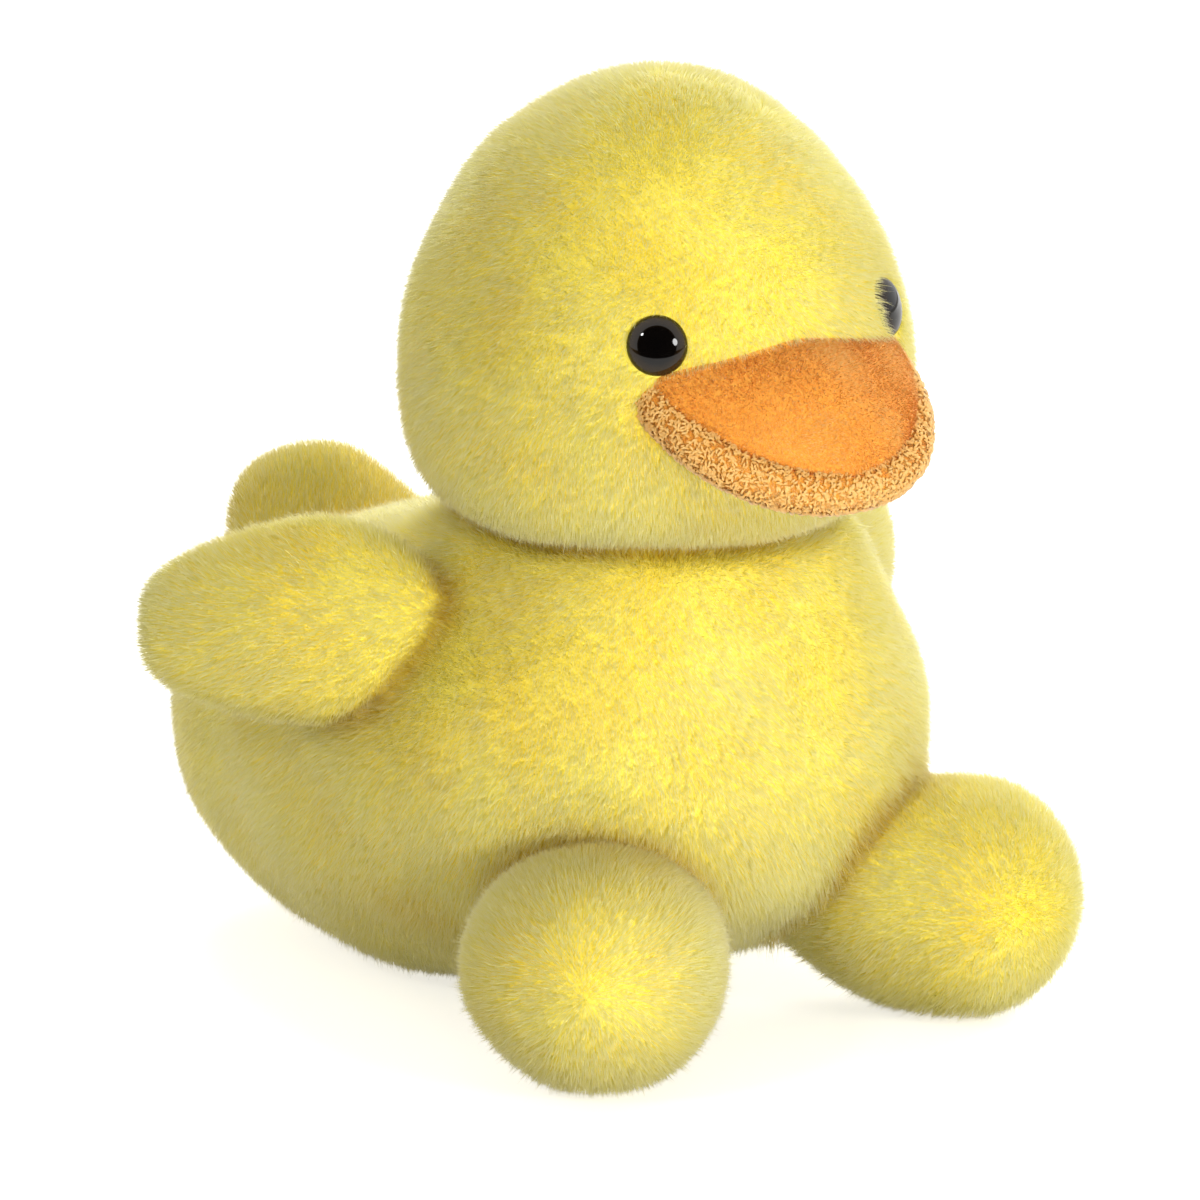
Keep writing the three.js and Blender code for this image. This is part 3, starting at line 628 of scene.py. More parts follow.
# %% [markdown]
# ## Plush: the backing
# The plush is a polyester knit: dyed fibres, cut about 2 mm long, that stand on a knitted backing. The
# backing shows only as a warm ground between the roots. It is matt and hardly glossy, with slow patches
# of dye and a fine grain. Real backing yarn is 0.15 mm wide, too fine to show, so the grain is coarser.

# %% Plush backing
PATCH_SIZE, YARN_SIZE, YARN_HEIGHT = 9.09, 0.3846, 0.2
backing, tree = material("yellow_plush_backing")
place = node(tree, "ShaderNodeTexCoord").outputs["Object"]
patches = node(tree, "ShaderNodeTexNoise", Vector=place, Scale=1 / (PATCH_SIZE * MM), Detail=3.0)
yarn = node(tree, "ShaderNodeTexNoise", Vector=place, Scale=1 / (YARN_SIZE * MM), Detail=2.0)
dyes = [(0.3, "#f9e04e"), (0.7, "#fdee6c")]
dye = node(tree, "ShaderNodeValToRGB", stops=dyes, Fac=patches.outputs["Fac"])
grain = yarn.outputs["Fac"]
bump = node(tree, "ShaderNodeBump", Strength=0.6, Distance=YARN_HEIGHT * MM, Height=grain)
knit = node(
    tree,
    "ShaderNodeBsdfPrincipled",
    Base_Color=dye.outputs["Color"],
    Roughness=0.95,
    Specular_IOR_Level=0.1,
    Normal=bump.outputs[0],
    Sheen_Weight=0.3,
    Sheen_Roughness=0.5,
)
node(tree, "ShaderNodeOutputMaterial", Surface=knit.outputs[0])
print("backing: patches of", PATCH_SIZE, "mm and grain of", YARN_SIZE, "mm")

# %% [markdown]
# ## Plush: the pile
# Light goes down among the fibres and comes out deeper in colour. The fibres' colours paint that in as
# well: deeper at the root, a painted shade of the pile's depth, golden near the seams, a painted shade
# of the creases, and pale lemon at the tip, a painted sheen. A fibre is a clear filament: some light
# passes through it, and its side has a soft gloss. Its colour is read from a small map of its own:
# across it the fibre's dye, from pale to golden, with painted light and shade added, and up it the
# way from root to tip.

# %% Pile finish
TIP_POWER = 2.4  # the painted pale of a fibre's tip shows only near its end


def pile_finish(name, low_colours, high_colours, through, gloss, sheen=0.0):
    """A fibre's colour from its map: each colour list runs from pale to deep dye, at root and tip. The
    tip list is paler, a painted sheen.
    """
    made, tree = material(name)
    pile_map = node(tree, "ShaderNodeUVMap", {"uv_map": "OFBake"})
    place = node(tree, "ShaderNodeSeparateXYZ", Vector=pile_map.outputs[0])
    places = [i / (len(low_colours) - 1) for i in range(len(low_colours))]
    low, high = (
        node(tree, "ShaderNodeValToRGB", stops=list(zip(places, colours)), Fac=place.outputs[0])
        for colours in (low_colours, high_colours)
    )
    pale = node(tree, "ShaderNodeMath", {"operation": "POWER"}, _0=place.outputs[1], _1=TIP_POWER)
    ends = {"_6": low.outputs["Color"], "_7": high.outputs["Color"]}
    colour = node(tree, "ShaderNodeMix", {"data_type": "RGBA"}, _0=pale.outputs[0], **ends).outputs[2]
    surface = node(
        tree,
        "ShaderNodeBsdfPrincipled",
        Base_Color=colour,
        Roughness=0.5,
        Specular_IOR_Level=gloss,
        Sheen_Weight=sheen,
        Sheen_Roughness=0.4,
    )
    passed = node(tree, "ShaderNodeBsdfTranslucent", Color=colour)
    mixed = node(tree, "ShaderNodeMixShader", _0=through, _1=surface.outputs[0], _2=passed.outputs[0])
    node(tree, "ShaderNodeOutputMaterial", Surface=mixed.outputs[0])
    return made


plush_pile = pile_finish(
    "yellow_plush_pile",
    # At the root from pale to deep dye, and at the tip the same painted paler, a painted sheen.
    ["#f9f6a0", "#f5ee78", "#f3d94c", "#f2bc34"],
    ["#ffffff", "#fffff4", "#fdf8c8", "#fbd968"],
    through=0.48,
    gloss=0.9,
)
print("finish:", plush_pile.name)

# %% [markdown]
# ## Sowing fibres
# Fibres are sown evenly over a form's area, with the same seed each time. Blender can scatter hair by
# itself, but then its places can't be counted or trimmed one by one, and they wouldn't be the same
# mesh in every tool that opens the toy.

# %% Sowing
PILE_DENSITY = 20.0  # drawn fibres to a square millimetre


def sow(form, density, seed, keep):
    """Random places on a form, the outward normals there, and the random numbers for what follows."""
    rng = np.random.default_rng(seed)
    p, n = form.points, form.normals
    q = np.roll(p, -1, 1)
    area = np.linalg.norm(np.cross(q[:-1] - p[:-1], p[1:] - p[:-1]), axis=-1)
    area = area / 2 + np.linalg.norm(np.cross(q[:-1] - q[1:], p[1:] - q[1:]), axis=-1) / 2
    middles = (p[:-1] + q[:-1] + p[1:] + q[1:]) / 4
    area = area * keep(middles.reshape(-1, 3)).reshape(area.shape)
    count = int(density * area.sum())
    spots = rng.choice(area.size, count, p=area.ravel() / area.sum())
    i, j = np.divmod(spots, area.shape[1])
    s, t = rng.random((2, count, 1))
    k = (j + 1) % area.shape[1]

    def mix(g):
        return (g[i, j] * (1 - s) + g[i + 1, j] * s) * (1 - t) + (g[i, k] * (1 - s) + g[i + 1, k] * s) * t

    return mix(p), unit(mix(n)), rng


def nearest(points, forms):
    return np.min([form.depth_outside(points) for form in forms], axis=0)


print("sowing", PILE_DENSITY, "fibres to a square millimetre")

# %% [markdown]
# ## Fibres
# Real fibres are a twentieth of a millimetre wide; here each drawn fibre stands for a small lock of
# them. It is a flat blade of two faces that bends half-way and tapers to its tip. Its shading leans
# to that of the cloth under it, as a whole pile's does. A few fibres lie their own way, and catch
# the light as fine pale strokes: their shading is their own, and their colour is painted the palest,
# a painted glint.

# %% Fibre maker
SOFTEN = 0.86  # how far a fibre takes its light as the cloth under it does
SPARKLE = 0.05  # the share of fibres that lie their own way and catch the light, painted pale as a painted glint
SPARKLE_OWN = 0.7  # how far those take their light by themselves
PALEST, DEEPEST = 0.02, 0.97  # the ends of the pile map
MOST_ROLL, TAPER = 1.1, 0.75  # how far a blade turns about itself; its width where it bends
BLADE = np.array([0, 1, 2, 3, 3, 2, 4])  # the corners of its two faces


def fibres(name, roots, stand, lie_down, length, width, dye, normals, finish, rng):
    """Flat tapered blades that bend over half-way, in one mesh, each with its strip of the pile map."""
    count = len(roots)
    flat = unit(np.cross(lie_down, normals))
    roll = rng.uniform(-MOST_ROLL, MOST_ROLL, (count, 1))
    across = np.cos(roll) * flat + np.sin(roll) * np.cross(lie_down, flat)
    step = length[:, None] / 2
    half = width[:, None] / 2 * across
    bend = roots + step * stand
    vertices = np.empty((count, 5, 3), np.float32)
    vertices[:, 0], vertices[:, 1] = roots - half, roots + half
    vertices[:, 2], vertices[:, 3] = bend + TAPER * half, bend - TAPER * half
    vertices[:, 4] = bend + step * lie_down
    inward = (np.cross(across, lie_down) * normals).sum(1) < 0
    vertices[inward] = vertices[inward][:, [1, 0, 3, 2, 4]]
    loops = (BLADE[None] + 5 * np.arange(count)[:, None]).ravel()
    starts = (np.array([0, 4])[None] + len(BLADE) * np.arange(count)[:, None]).ravel()
    mesh = bpy.data.meshes.new(name)
    mesh.vertices.add(count * 5)
    mesh.vertices.foreach_set("co", (vertices * MM).ravel())
    mesh.loops.add(loops.size)
    mesh.loops.foreach_set("vertex_index", loops.astype(np.int32))
    mesh.polygons.add(2 * count)
    mesh.polygons.foreach_set("loop_start", starts.astype(np.int32))
    mesh.polygons.foreach_set("use_smooth", np.ones(2 * count, bool))
    mesh.update(calc_edges=True)
    sparkle = rng.random((count, 1)) < SPARKLE
    spot = np.empty((count, 5, 2), np.float32)
    spot[:, :, 0] = np.clip(dye, PALEST, DEEPEST)[:, None] + np.array([0, 0.006, 0.006, 0, 0.003])
    spot[:, :, 1] = [0.02, 0.02, 0.5, 0.5, 0.98]
    # Painted glint: these fibres are painted the palest colour.
    spot[sparkle[:, 0], :, 0] = PALEST
    mesh.uv_layers.new(name="OFBake").data.foreach_set("uv", spot.reshape(-1, 2)[loops].ravel())
    own = np.where(sparkle, SPARKLE_OWN, 1 - SOFTEN)
    facing = unit(np.cross(across, lie_down) * np.where(inward, -1, 1)[:, None])
    lit = unit((1 - own) * normals + own * facing)
    mesh.normals_split_custom_set_from_vertices(np.repeat(lit, 5, axis=0))
    mesh.materials.append(finish)
    made = bpy.data.objects.new(name, mesh)
    bpy.context.collection.objects.link(made)
    return made


MOST_FIBRES = 60000  # in one mesh


def fibre_pieces(name, rng, *measures):
    """The fibres of one pile, shared out at random over as many meshes as they need."""
    *by_fibre, finish = measures
    count = len(by_fibre[0])
    shares = np.array_split(rng.permutation(count), math.ceil(count / MOST_FIBRES))
    return [
        fibres(f"{name}_{number}", *(measure[share] for measure in by_fibre), finish, rng)
        for number, share in enumerate(shares, 1)
    ]


print("a fibre has 5 vertices, and a mesh at most", MOST_FIBRES, "fibres")

# %% [markdown]
# ## Combing the pile
# Each fibre leans with the nap: the way that the cloth was cut and has been stroked, which drifts a
# little from place to place. Near a seam the fibres are painted more golden, a painted shade of the
# crease. The body's are longer there and stand up, so that they fill the crease, while those of the
# head and the limbs are trimmed. Round the bill they are trimmed too.

# %% Pile maker
PILE_INSET = 1.1  # how far the backing lies inside the form
PILE_LENGTH, PILE_WIDTH = 1.8, 0.078
ROOT_DEPTH = 0.1  # below the backing
HIDDEN, OFF_FLOOR, FLATTENED = 0.6, 0.3, 0.1  # inside a neighbour, above the table, and pressed by it
NAP_DRIFTS = ((0.3, 9), (0.08, 3))  # how far the nap wanders, over how many millimetres
LEAN, LEAN_DRIFT, LEAN_SIZE, LEAN_SPREAD = 0.5, 0.06, 6, 0.12  # from upright, in radians
LEAST_LEAN, MOST_LEAN = 0.15, 1.1
LOWER_BEND, UPPER_BEND = 0.15, 0.2
STRAY, TIP_STRAY = 0.1, 1.5  # how far single hairs stray, and how much more their tips do
LENGTHS, WIDTHS = (0.7, 1.0), (0.7, 1.2)  # as shares of the pile's length and width
LONG_HAIRS, LONGEST_MORE = 0.14, 0.8  # how much longer a few hairs are: by habit, and at most
CREASE_REACH, CREASE_LIFT, BODY_LONGER, OTHERS_SHORTER = 2.5, 0.4, 0.9, 0.3
TRIM_REACH, TRIM, PRESSED = 1.5, 0.55, 0.3
DYE, DYE_PATCH, DYE_SIZE, DYE_SPREAD = 0.28, 0.07, 11, 0.05
# How much more golden the fibres are painted near a seam, how far that reaches, and near a crease:
# painted shade.
SEAM_PAINTED_SHADE, SEAM_SHADE_REACH, CREASE_PAINTED_SHADE = 0.28, 1.8, 0.1


def beside(points, forms, reach):
    """1 at the forms and in them, falling off outside them over a distance of reach."""
    return np.exp(-np.maximum(nearest(points, forms), 0) / reach)


def comb(way, normals):
    """A direction laid down on the surface."""
    return unit(way - (way * normals).sum(1)[:, None] * normals)


def grow_pile(name, form, nap, others, keep, painted_light_and_shade, seed, shorter=()):
    """Sows and combs a form's pile. others are the forms that it meets; nap gives its direction."""

    def kept(points):
        free = nearest(points, others) > -HIDDEN
        free &= points[:, 2] > OFF_FLOOR
        return free & keep(points) if keep else free

    points, normals, rng = sow(form, PILE_DENSITY, seed, kept)
    count = len(points)
    way = nap(points, normals)
    for number, (strength, size) in enumerate(NAP_DRIFTS, 1):
        way = way + strength * drift(points, size, seed + number)
    lie = comb(way, normals)
    lean = LEAN + LEAN_DRIFT * drift(points, LEAN_SIZE, seed + 3)[:, 0]
    lean = lean + rng.normal(0, LEAN_SPREAD, count)
    crease = beside(points, [other for other in others if other not in shorter], CREASE_REACH)
    lean = np.clip(lean * (1 - CREASE_LIFT * crease), LEAST_LEAN, MOST_LEAN)[:, None]
    stray = rng.normal(0, STRAY, (count, 3))
    lower, upper = lean - LOWER_BEND, lean + UPPER_BEND
    stand = unit(np.cos(lower) * normals + np.sin(lower) * lie + stray)
    lie_down = unit(np.cos(upper) * normals + np.sin(upper) * lie + TIP_STRAY * stray)
    share = rng.uniform(*LENGTHS, count)
    share = share + np.minimum(rng.exponential(LONG_HAIRS, count), LONGEST_MORE)
    length = PILE_LENGTH * share
    length = length * (1 + (BODY_LONGER if name == "body" else -OTHERS_SHORTER) * crease)
    if shorter:
        length = length * (1 - TRIM * beside(points, shorter, TRIM_REACH))
    width = PILE_WIDTH * rng.uniform(*WIDTHS, count)
    # The fibre's dye and its random tones, with painted light and shade added: by piece, and golden near
    # seams and creases as painted shade.
    dye = DYE + painted_light_and_shade(points) + DYE_PATCH * drift(points, DYE_SIZE, seed + 4)[:, 0]
    dye = dye + SEAM_PAINTED_SHADE * beside(points, others, SEAM_SHADE_REACH) + CREASE_PAINTED_SHADE * crease
    dye = dye + rng.normal(0, DYE_SPREAD, count)
    roots = points - (PILE_INSET + ROOT_DEPTH) * normals
    tips = (roots + length[:, None] * (stand + lie_down) / 2)[:, 2]
    length = np.where(tips < FLATTENED, PRESSED * length, length)
    measures = (roots, stand, lie_down, length, width, dye, normals)
    made = fibre_pieces(name + "_pile", rng, *measures, plush_pile)
    print(name, "pile:", count, "fibres in", len(made), "pieces")
    return made


print("the pile is", PILE_LENGTH, "mm long and stands on a backing", PILE_INSET, "mm inside the form")

# %% [markdown]
# ## Eye plastic
# Safety eyes are moulded domes of clear acrylic, painted behind with a black pupil in a dark brown
# ring. The plastic is polished, so it mirrors the lamps as small sharp lights. The paint is given by
# the distance from the eye's middle.

# %% Eye plastic
EYE_RADIUS, EYE_DOME, EYE_RIM = 3.75, 1.8, 0.5
ring_paints = [(0.0, "#050404"), (0.6, "#080605"), (0.76, "#241a0c"), (0.92, "#2e2210"), (1.0, "#100c06")]
eye_plastic, tree = material("moulded_clear_eye_plastic")
place = node(tree, "ShaderNodeTexCoord").outputs["Object"]
flat = node(tree, "ShaderNodeVectorMath", {"operation": "MULTIPLY"}, _0=place, _1=(1, 1, 0))
reach = node(tree, "ShaderNodeVectorMath", {"operation": "LENGTH"}, _0=flat.outputs[0])
edge = {"_0": reach.outputs["Value"], "_1": EYE_RADIUS * MM}
share = node(tree, "ShaderNodeMath", {"operation": "DIVIDE"}, **edge)
paint = node(tree, "ShaderNodeValToRGB", stops=ring_paints, Fac=share.outputs[0]).outputs["Color"]
polished = {"Roughness": 0.05, "IOR": 1.49, "Specular_IOR_Level": 0.5}
dome = node(tree, "ShaderNodeBsdfPrincipled", Base_Color=paint, **polished)
node(tree, "ShaderNodeOutputMaterial", Surface=dome.outputs[0])
print("eye paints:", len(ring_paints), "rings")

# %% [markdown]
# ## Eyes
# The CAD solid has the stem and a faceted dome. A turned profile with a fine edge takes its place,
# because a gloss shows every facet. It is seated by the tip of the CAD eye and looks the same way.

# %% Eye domes
STEM_LENGTH, STEM_RADIUS, EYE_STEPS = 8.0, 1.1, 72
EYE_YAW, EYE_TILT = math.radians(36), math.radians(13)
eye_lines = [(0.0, -STEM_LENGTH), (STEM_RADIUS, -STEM_LENGTH), (STEM_RADIUS, 0.0)]
eye_lines += [(EYE_RADIUS - 0.25, 0.0), (EYE_RADIUS - 0.05, 0.12)]  # a small round under the rim
for angle in np.linspace(0, math.pi / 2, 28):
    eye_lines.append((EYE_RADIUS * math.cos(angle), EYE_RIM + EYE_DOME * math.sin(angle)))
eye_lines[-1] = (0.0, EYE_RIM + EYE_DOME)


def turned(lines, steps):
    """The vertices and faces of a profile of radii and heights, turned about the axis."""
    turns = np.linspace(0, 2 * math.pi, steps, endpoint=False)
    rings = [[(r * math.cos(t), r * math.sin(t), z) for t in turns] for r, z in lines[1:-1]]
    vertices = [(0, 0, lines[0][1])] + sum(rings, []) + [(0, 0, lines[-1][1])]
    faces = []
    for i in range(len(rings) - 1):
        for j in range(steps):
            a, b = 1 + i * steps + j, 1 + i * steps + (j + 1) % steps
            faces.append((a, b, b + steps, a + steps))
    end = len(vertices) - 1
    base = end - steps
    faces += [(0, 1 + (j + 1) % steps, 1 + j) for j in range(steps)]
    faces += [(end, base + j, base + (j + 1) % steps) for j in range(steps)]
    return vertices, faces


eyes = {}
for side_name, side in (("left", 1), ("right", -1)):
    yaw = side * EYE_YAW
    outward = np.array(
        [math.sin(yaw) * math.cos(EYE_TILT), -math.cos(yaw) * math.cos(EYE_TILT), math.sin(EYE_TILT)]
    )
    cad_eye = np.array([v.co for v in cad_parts["eye_" + side_name].data.vertices]) / MM
    tip = cad_eye[np.argmax(cad_eye @ outward)]
    seat = tip - (EYE_RIM + EYE_DOME) * outward
    eye = mesh_object("safety_eye_" + side_name, *turned(eye_lines, EYE_STEPS), eye_plastic)
    turn = Vector(outward).to_track_quat("Z", "Y").to_matrix().to_4x4()
    eye.matrix_world = Matrix.Translation(Vector(seat * MM)) @ turn
    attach(eye, "head")
    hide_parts("eye_" + side_name)
    eyes[side_name] = (seat, outward)
print("eyes at", [seat.round(1) for seat, _ in eyes.values()])

# %% [markdown]
# ## Naps
# The nap of the head runs down from the crown, which is painted a little paler, a painted light from
# above, and that of the body down from the neck and out from the gathers before each wing, where it
# parts and is painted golden, a painted shade in the parting. On the wings and the tail it runs to the
# tip, and on the feet back from the toe, so that the hairs part in the middle of it. The tail is
# painted a little deeper, a painted shade. It could be combed by hand on each piece, but a formula
# gives every fibre its way from where it stands. Round the eyes the maker clips the pile, a little
# further above them.

# %% Naps
HEAD_NAP, BODY_NAP = (0, 0.12, -1), (0, 0.1, -1)  # downward, and a little to the back
GATHERS = [np.array([side * 31, -4, 46]) + SHIFT for side in (1, -1)]
# The third and fourth: how much the fibres at a parting are painted golden, a painted shade, and over how
# many millimetres it fades.
GATHER_PULL, GATHER_REACH, GATHER_PAINTED_SHADE, GATHER_SHADE_SIZE = 2.2, 9, 0.3, 5
# The crown is painted paler from this height up, a painted light from above.
CROWN_PAINTED_LIGHT, CROWN_START, CROWN_RISE = 0.18, 92, 18
# The tail is painted deeper, a painted shade.
TAIL_PAINTED_SHADE = 0.14
EYE_CLIP, EYE_CLIP_ABOVE, EYE_BEHIND = 0.05, 0.6, 6


def off_eyes(points):
    """True where a point isn't under an eye's dome. Above an eye the pile is clipped further."""
    free = np.ones(len(points), bool)
    for seat, outward in eyes.values():
        away = points - seat
        along_stem = away @ outward
        from_stem = np.linalg.norm(away - along_stem[:, None] * outward, axis=1)
        margin = EYE_CLIP + EYE_CLIP_ABOVE * np.clip(away[:, 2] / EYE_RADIUS, 0, 1)
        free &= (from_stem > EYE_RADIUS + margin) | (along_stem < -EYE_BEHIND)
    return free


def head_nap(points, normals):
    return np.zeros_like(points) + HEAD_NAP


def body_nap(points, normals):
    lie = np.zeros_like(points) + BODY_NAP
    for gather in GATHERS:
        away = points - gather
        pull = np.exp(-np.linalg.norm(away, axis=1) / GATHER_REACH)[:, None]
        lie = lie + GATHER_PULL * pull * unit(away)
    return lie


# Painted shade: fibres at a parting are painted more golden.
def gather_painted_shade(points):
    away = [np.linalg.norm(points - gather, axis=1) for gather in GATHERS]
    return GATHER_PAINTED_SHADE * np.exp(-np.min(away, axis=0) / GATHER_SHADE_SIZE)


# Painted light: the crown's fibres are painted paler.
def crown_painted_light(points):
    return -CROWN_PAINTED_LIGHT * np.clip((points[:, 2] - CROWN_START) / CROWN_RISE, 0, 1)


def along_nap(form):
    return lambda points, normals: np.zeros_like(points) + form.onward


def toe_nap(form):
    toe = form.origin + form.onward * form.rows[-1, 0]
    return lambda points, normals: unit(points - toe)


print("gathers at", [gather.round(1) for gather in GATHERS])

# %% [markdown]
# ## Yellow pieces
# Each piece is its cloth and its pile. Those of the body and the head ride on their own bodies. A limb
# is sewn on by its root; its cloth and pile are set in place where they are made, and ride on no body.

# %% Yellow cloths and their pile
every = {"body": body, "head": head, **limbs}
neighbours = {"body": [head, *limbs.values()], "head": [body, *bill_forms]}
naps = {"body": body_nap, "head": head_nap}
# Painted shade at the body's partings and on the tail, and painted light on the head's crown.
painted_light_and_shade_by_piece = {"body": gather_painted_shade, "head": crown_painted_light, "tail": lambda points: TAIL_PAINTED_SHADE}
for name, form in every.items():
    nap = naps.get(name) or (toe_nap if name.startswith("foot") else along_nap)(form)
    others = neighbours.get(name, [body])
    keep = off_eyes if name == "head" else None
    painted_light_and_shade = painted_light_and_shade_by_piece.get(name, lambda points: 0.0)
    seed = 100 * (1 + list(every).index(name))
    skin = cloth(name + "_cloth", form, PILE_INSET, backing)
    trimmed_by = bill_forms if name == "head" else ()
    for piece in [skin, *grow_pile(name, form, nap, others, keep, painted_light_and_shade, seed, trimmed_by)]:
        if name in ("body", "head"):
            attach(piece, name)
        else:
            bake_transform(piece)
    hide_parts(name + "_skin", name + "_stuffing")

# %% [markdown]
# ## Bill finishes
# The bill is velour: a knit whose loops are sheared to a very short, soft and even nap. It gives the
# eye a matt orange with a pale bloom at grazing angles. In the groove between the two pads the nap is
# painted deeper orange, a painted shade. Its fine loops, drawn half a millimetre apart, are about
# twice the real ones, so that they show. The crushed curls of the rim let no light through, so they
# have a finish of their own.

# %% Bill finishes
LOOP_SIZE, LOOP_HEIGHT = 0.4545, 0.2
velour, tree = material("orange_velour_backing")
place = node(tree, "ShaderNodeTexCoord").outputs["Object"]
loops = node(tree, "ShaderNodeTexNoise", Vector=place, Scale=1 / (LOOP_SIZE * MM), Detail=2.0)
fine = loops.outputs["Fac"]
dye = node(tree, "ShaderNodeValToRGB", stops=[(0.3, "#f6a63c"), (0.7, "#fab44e")], Fac=fine)
bump = node(tree, "ShaderNodeBump", Strength=0.5, Distance=LOOP_HEIGHT * MM, Height=fine)
knit = node(
    tree,
    "ShaderNodeBsdfPrincipled",
    Base_Color=dye.outputs["Color"],
    Roughness=0.95,
    Specular_IOR_Level=0.1,
    Normal=bump.outputs[0],
    Sheen_Weight=0.3,
)
node(tree, "ShaderNodeOutputMaterial", Surface=knit.outputs[0])
velour_pile = pile_finish(
    "orange_velour_pile",
    # At the root from pale to deep dye, and at the tip the same painted paler, a painted sheen.
    ["#fbd274", "#efa836", "#e88c24"],
    ["#fff2cc", "#ffdf98", "#f9b856"],
    through=0.3,
    gloss=0.2,
    sheen=0.3,
)
velour_curls = pile_finish(
    "orange_velour_curls",
    ["#f0b04c", "#eda43e", "#e89630"],
    ["#ffd48c", "#fac476", "#f5b45c"],
    through=0.0,
    gloss=0.2,
    sheen=0.3,
)
print("finishes:", velour.name, velour_pile.name, velour_curls.name)

# %% [markdown]
# ## Bill pads
# The nap of each pad is brushed forward, from the face to the tip. It is grown as the plush is, but
# much shorter and closer, so that the pad keeps the crisp outline of thin cloth.

# %% Bill pads
NAP_DENSITY = 40.0  # drawn fibres to a square millimetre
NAP_INSET, NAP_ROOT, BILL_FILL, IN_HEAD = 0.25, 0.3, 0.7, 0.8
NAP_LENGTHS, NAP_WIDTHS = (0.4, 0.65), (0.07, 0.11)
NAP_LEAN, NAP_SPREAD, MOST_NAP_LEAN, NAP_BEND, NAP_STRAY = 0.6, 0.2, 1.2, 0.2, 0.1
NAP_DRIFT, NAP_DRIFT_SIZE = 0.5, 4
NAP_DYE_DRIFT, NAP_DYE_SIZE, NAP_DYE_SPREAD = 0.1, 5, 0.1
# How much deeper orange the nap is painted near the other pad, a painted shade, and how far that reaches.
GROOVE_PAINTED_SHADE, GROOVE_SHADE_REACH = 0.5, 1.0


def outside_head(points):
    return head.depth_outside(points) > -IN_HEAD


for name, form, other, seed, ground_dye in (
    ("bill_lower", bill_lower, bill_upper, 1018, 0.2),
    ("bill_upper", bill_upper, bill_lower, 1027, 0.5),
):
    skin = cloth(name + "_cloth", form, NAP_INSET, velour)
    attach(skin, "head")
    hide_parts(name + "_skin", name + "_stuffing")
    points, normals, rng = sow(form, NAP_DENSITY, seed, outside_head)
    count = len(points)
    forward = np.zeros_like(points) - bill_back
    lie = comb(forward + NAP_DRIFT * drift(points, NAP_DRIFT_SIZE, 71), normals)
    lean = np.clip(rng.normal(NAP_LEAN, NAP_SPREAD, count), 0, MOST_NAP_LEAN)[:, None]
    stray = rng.normal(0, NAP_STRAY, (count, 3))
    lower, upper = lean - NAP_BEND, lean + NAP_BEND
    stand = unit(np.cos(lower) * normals + np.sin(lower) * lie + stray)
    lie_down = unit(np.cos(upper) * normals + np.sin(upper) * lie + stray)
    dye = ground_dye + NAP_DYE_DRIFT * drift(points, NAP_DYE_SIZE, 72)[:, 0]
    # Painted shade: deeper orange in the groove between the pads.
    dye = dye + GROOVE_PAINTED_SHADE * beside(points, [other], GROOVE_SHADE_REACH)
    dye = dye + rng.normal(0, NAP_DYE_SPREAD, count)
    length, width = rng.uniform(*NAP_LENGTHS, count), rng.uniform(*NAP_WIDTHS, count)
    measures = (points - NAP_ROOT * normals, stand, lie_down, length, width, dye, normals)
    for piece in fibre_pieces(name + "_nap", rng, *measures, velour_pile):
        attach(piece, "head")
    print(name, "nap:", count, "fibres")

# %% [markdown]
# ## Where the rim is curled
# The cloth of the rim is turned over a cord of fill, and its nap has been crushed into tiny pale curls.
# They stand on the outer side of the roll, thin out toward the dish, and stop under the pad and at the
# head. A bump map would be quicker, but curls break the rim's outline, so they are real threads.

# %% Curl places
CURL_DENSITY = 5.0  # curls to a square millimetre
FACING_OUT, FACING_SPREAD, FACING_DOWN = -0.25, 0.2, -0.8
FROM_MIDDLE = 12  # the roll lies further out than this


def outward_of_rim(points):
    local = points - bill_origin
    plan = (local @ bill_side / RIM_HALF**2)[:, None] * bill_side
    return unit(plan + (local @ bill_back / RIM_FRONT**2)[:, None] * bill_back)


def on_roll(points):
    return outside_head(points) & ((points - bill_origin) @ bill_up > -RIM_DROP - RIM_RADIUS)


points, normals, rng = sow(bill_lower, CURL_DENSITY, 951, on_roll)
facing_out = (normals * outward_of_rim(points)).sum(1)
kept = facing_out > FACING_OUT + FACING_SPREAD * rng.random(len(points))
kept &= normals @ bill_up > FACING_DOWN
local = points - bill_origin
kept &= np.linalg.norm(local - bill_up * (local @ bill_up)[:, None], axis=1) > FROM_MIDDLE
points, normals = points[kept], normals[kept]
print("rim:", len(points), "curls")

# %% [markdown]
# ## Rim curls
# Each curl is a bent thread with three sides, a little over half a turn. Its two ends are buried in
# the roll and its arch stands up, so that it catches the light on top. Its colour is painted too:
# paler on the arch, a painted highlight, and deeper orange at the ends, a painted shade.

# %% Rim curls
CURL_RADIUS, CURL_THREAD, CURL_END, CURL_SUNK = 0.27, 0.15, 0.45, 0.1
CURL_STEPS, CURL_TWIST, CURL_TILT = 8, 0.5, 0.5
CURL_START, CURL_STOP = math.radians(-30), math.radians(190)
CURL_FOOT, CURL_ARCH = 0.3, 0.8  # how high the thread's ends and its arch stand, in curl radii
CURL_SIZES, CURL_DYES = (0.7, 1.2), (0.05, 0.5)
FOOT_PAINTED_SHADE, ARCH_PAINTED_HIGHLIGHT = 0.35, 0.6  # up the pile map: the painted shade of the ends, and the painted highlight that the arch adds
CURL_OWN, CURL_HEART = 0.25, 0.3  # how far a curl takes its light by itself, from where inside it
count = len(points)
spin = unit(np.cross(normals, rng.normal(size=(count, 3))))
tall = unit(normals + CURL_TILT * rng.normal(size=(count, 3)))
flat = unit(np.cross(tall, spin))
reach = CURL_RADIUS * rng.uniform(*CURL_SIZES, count)[:, None]
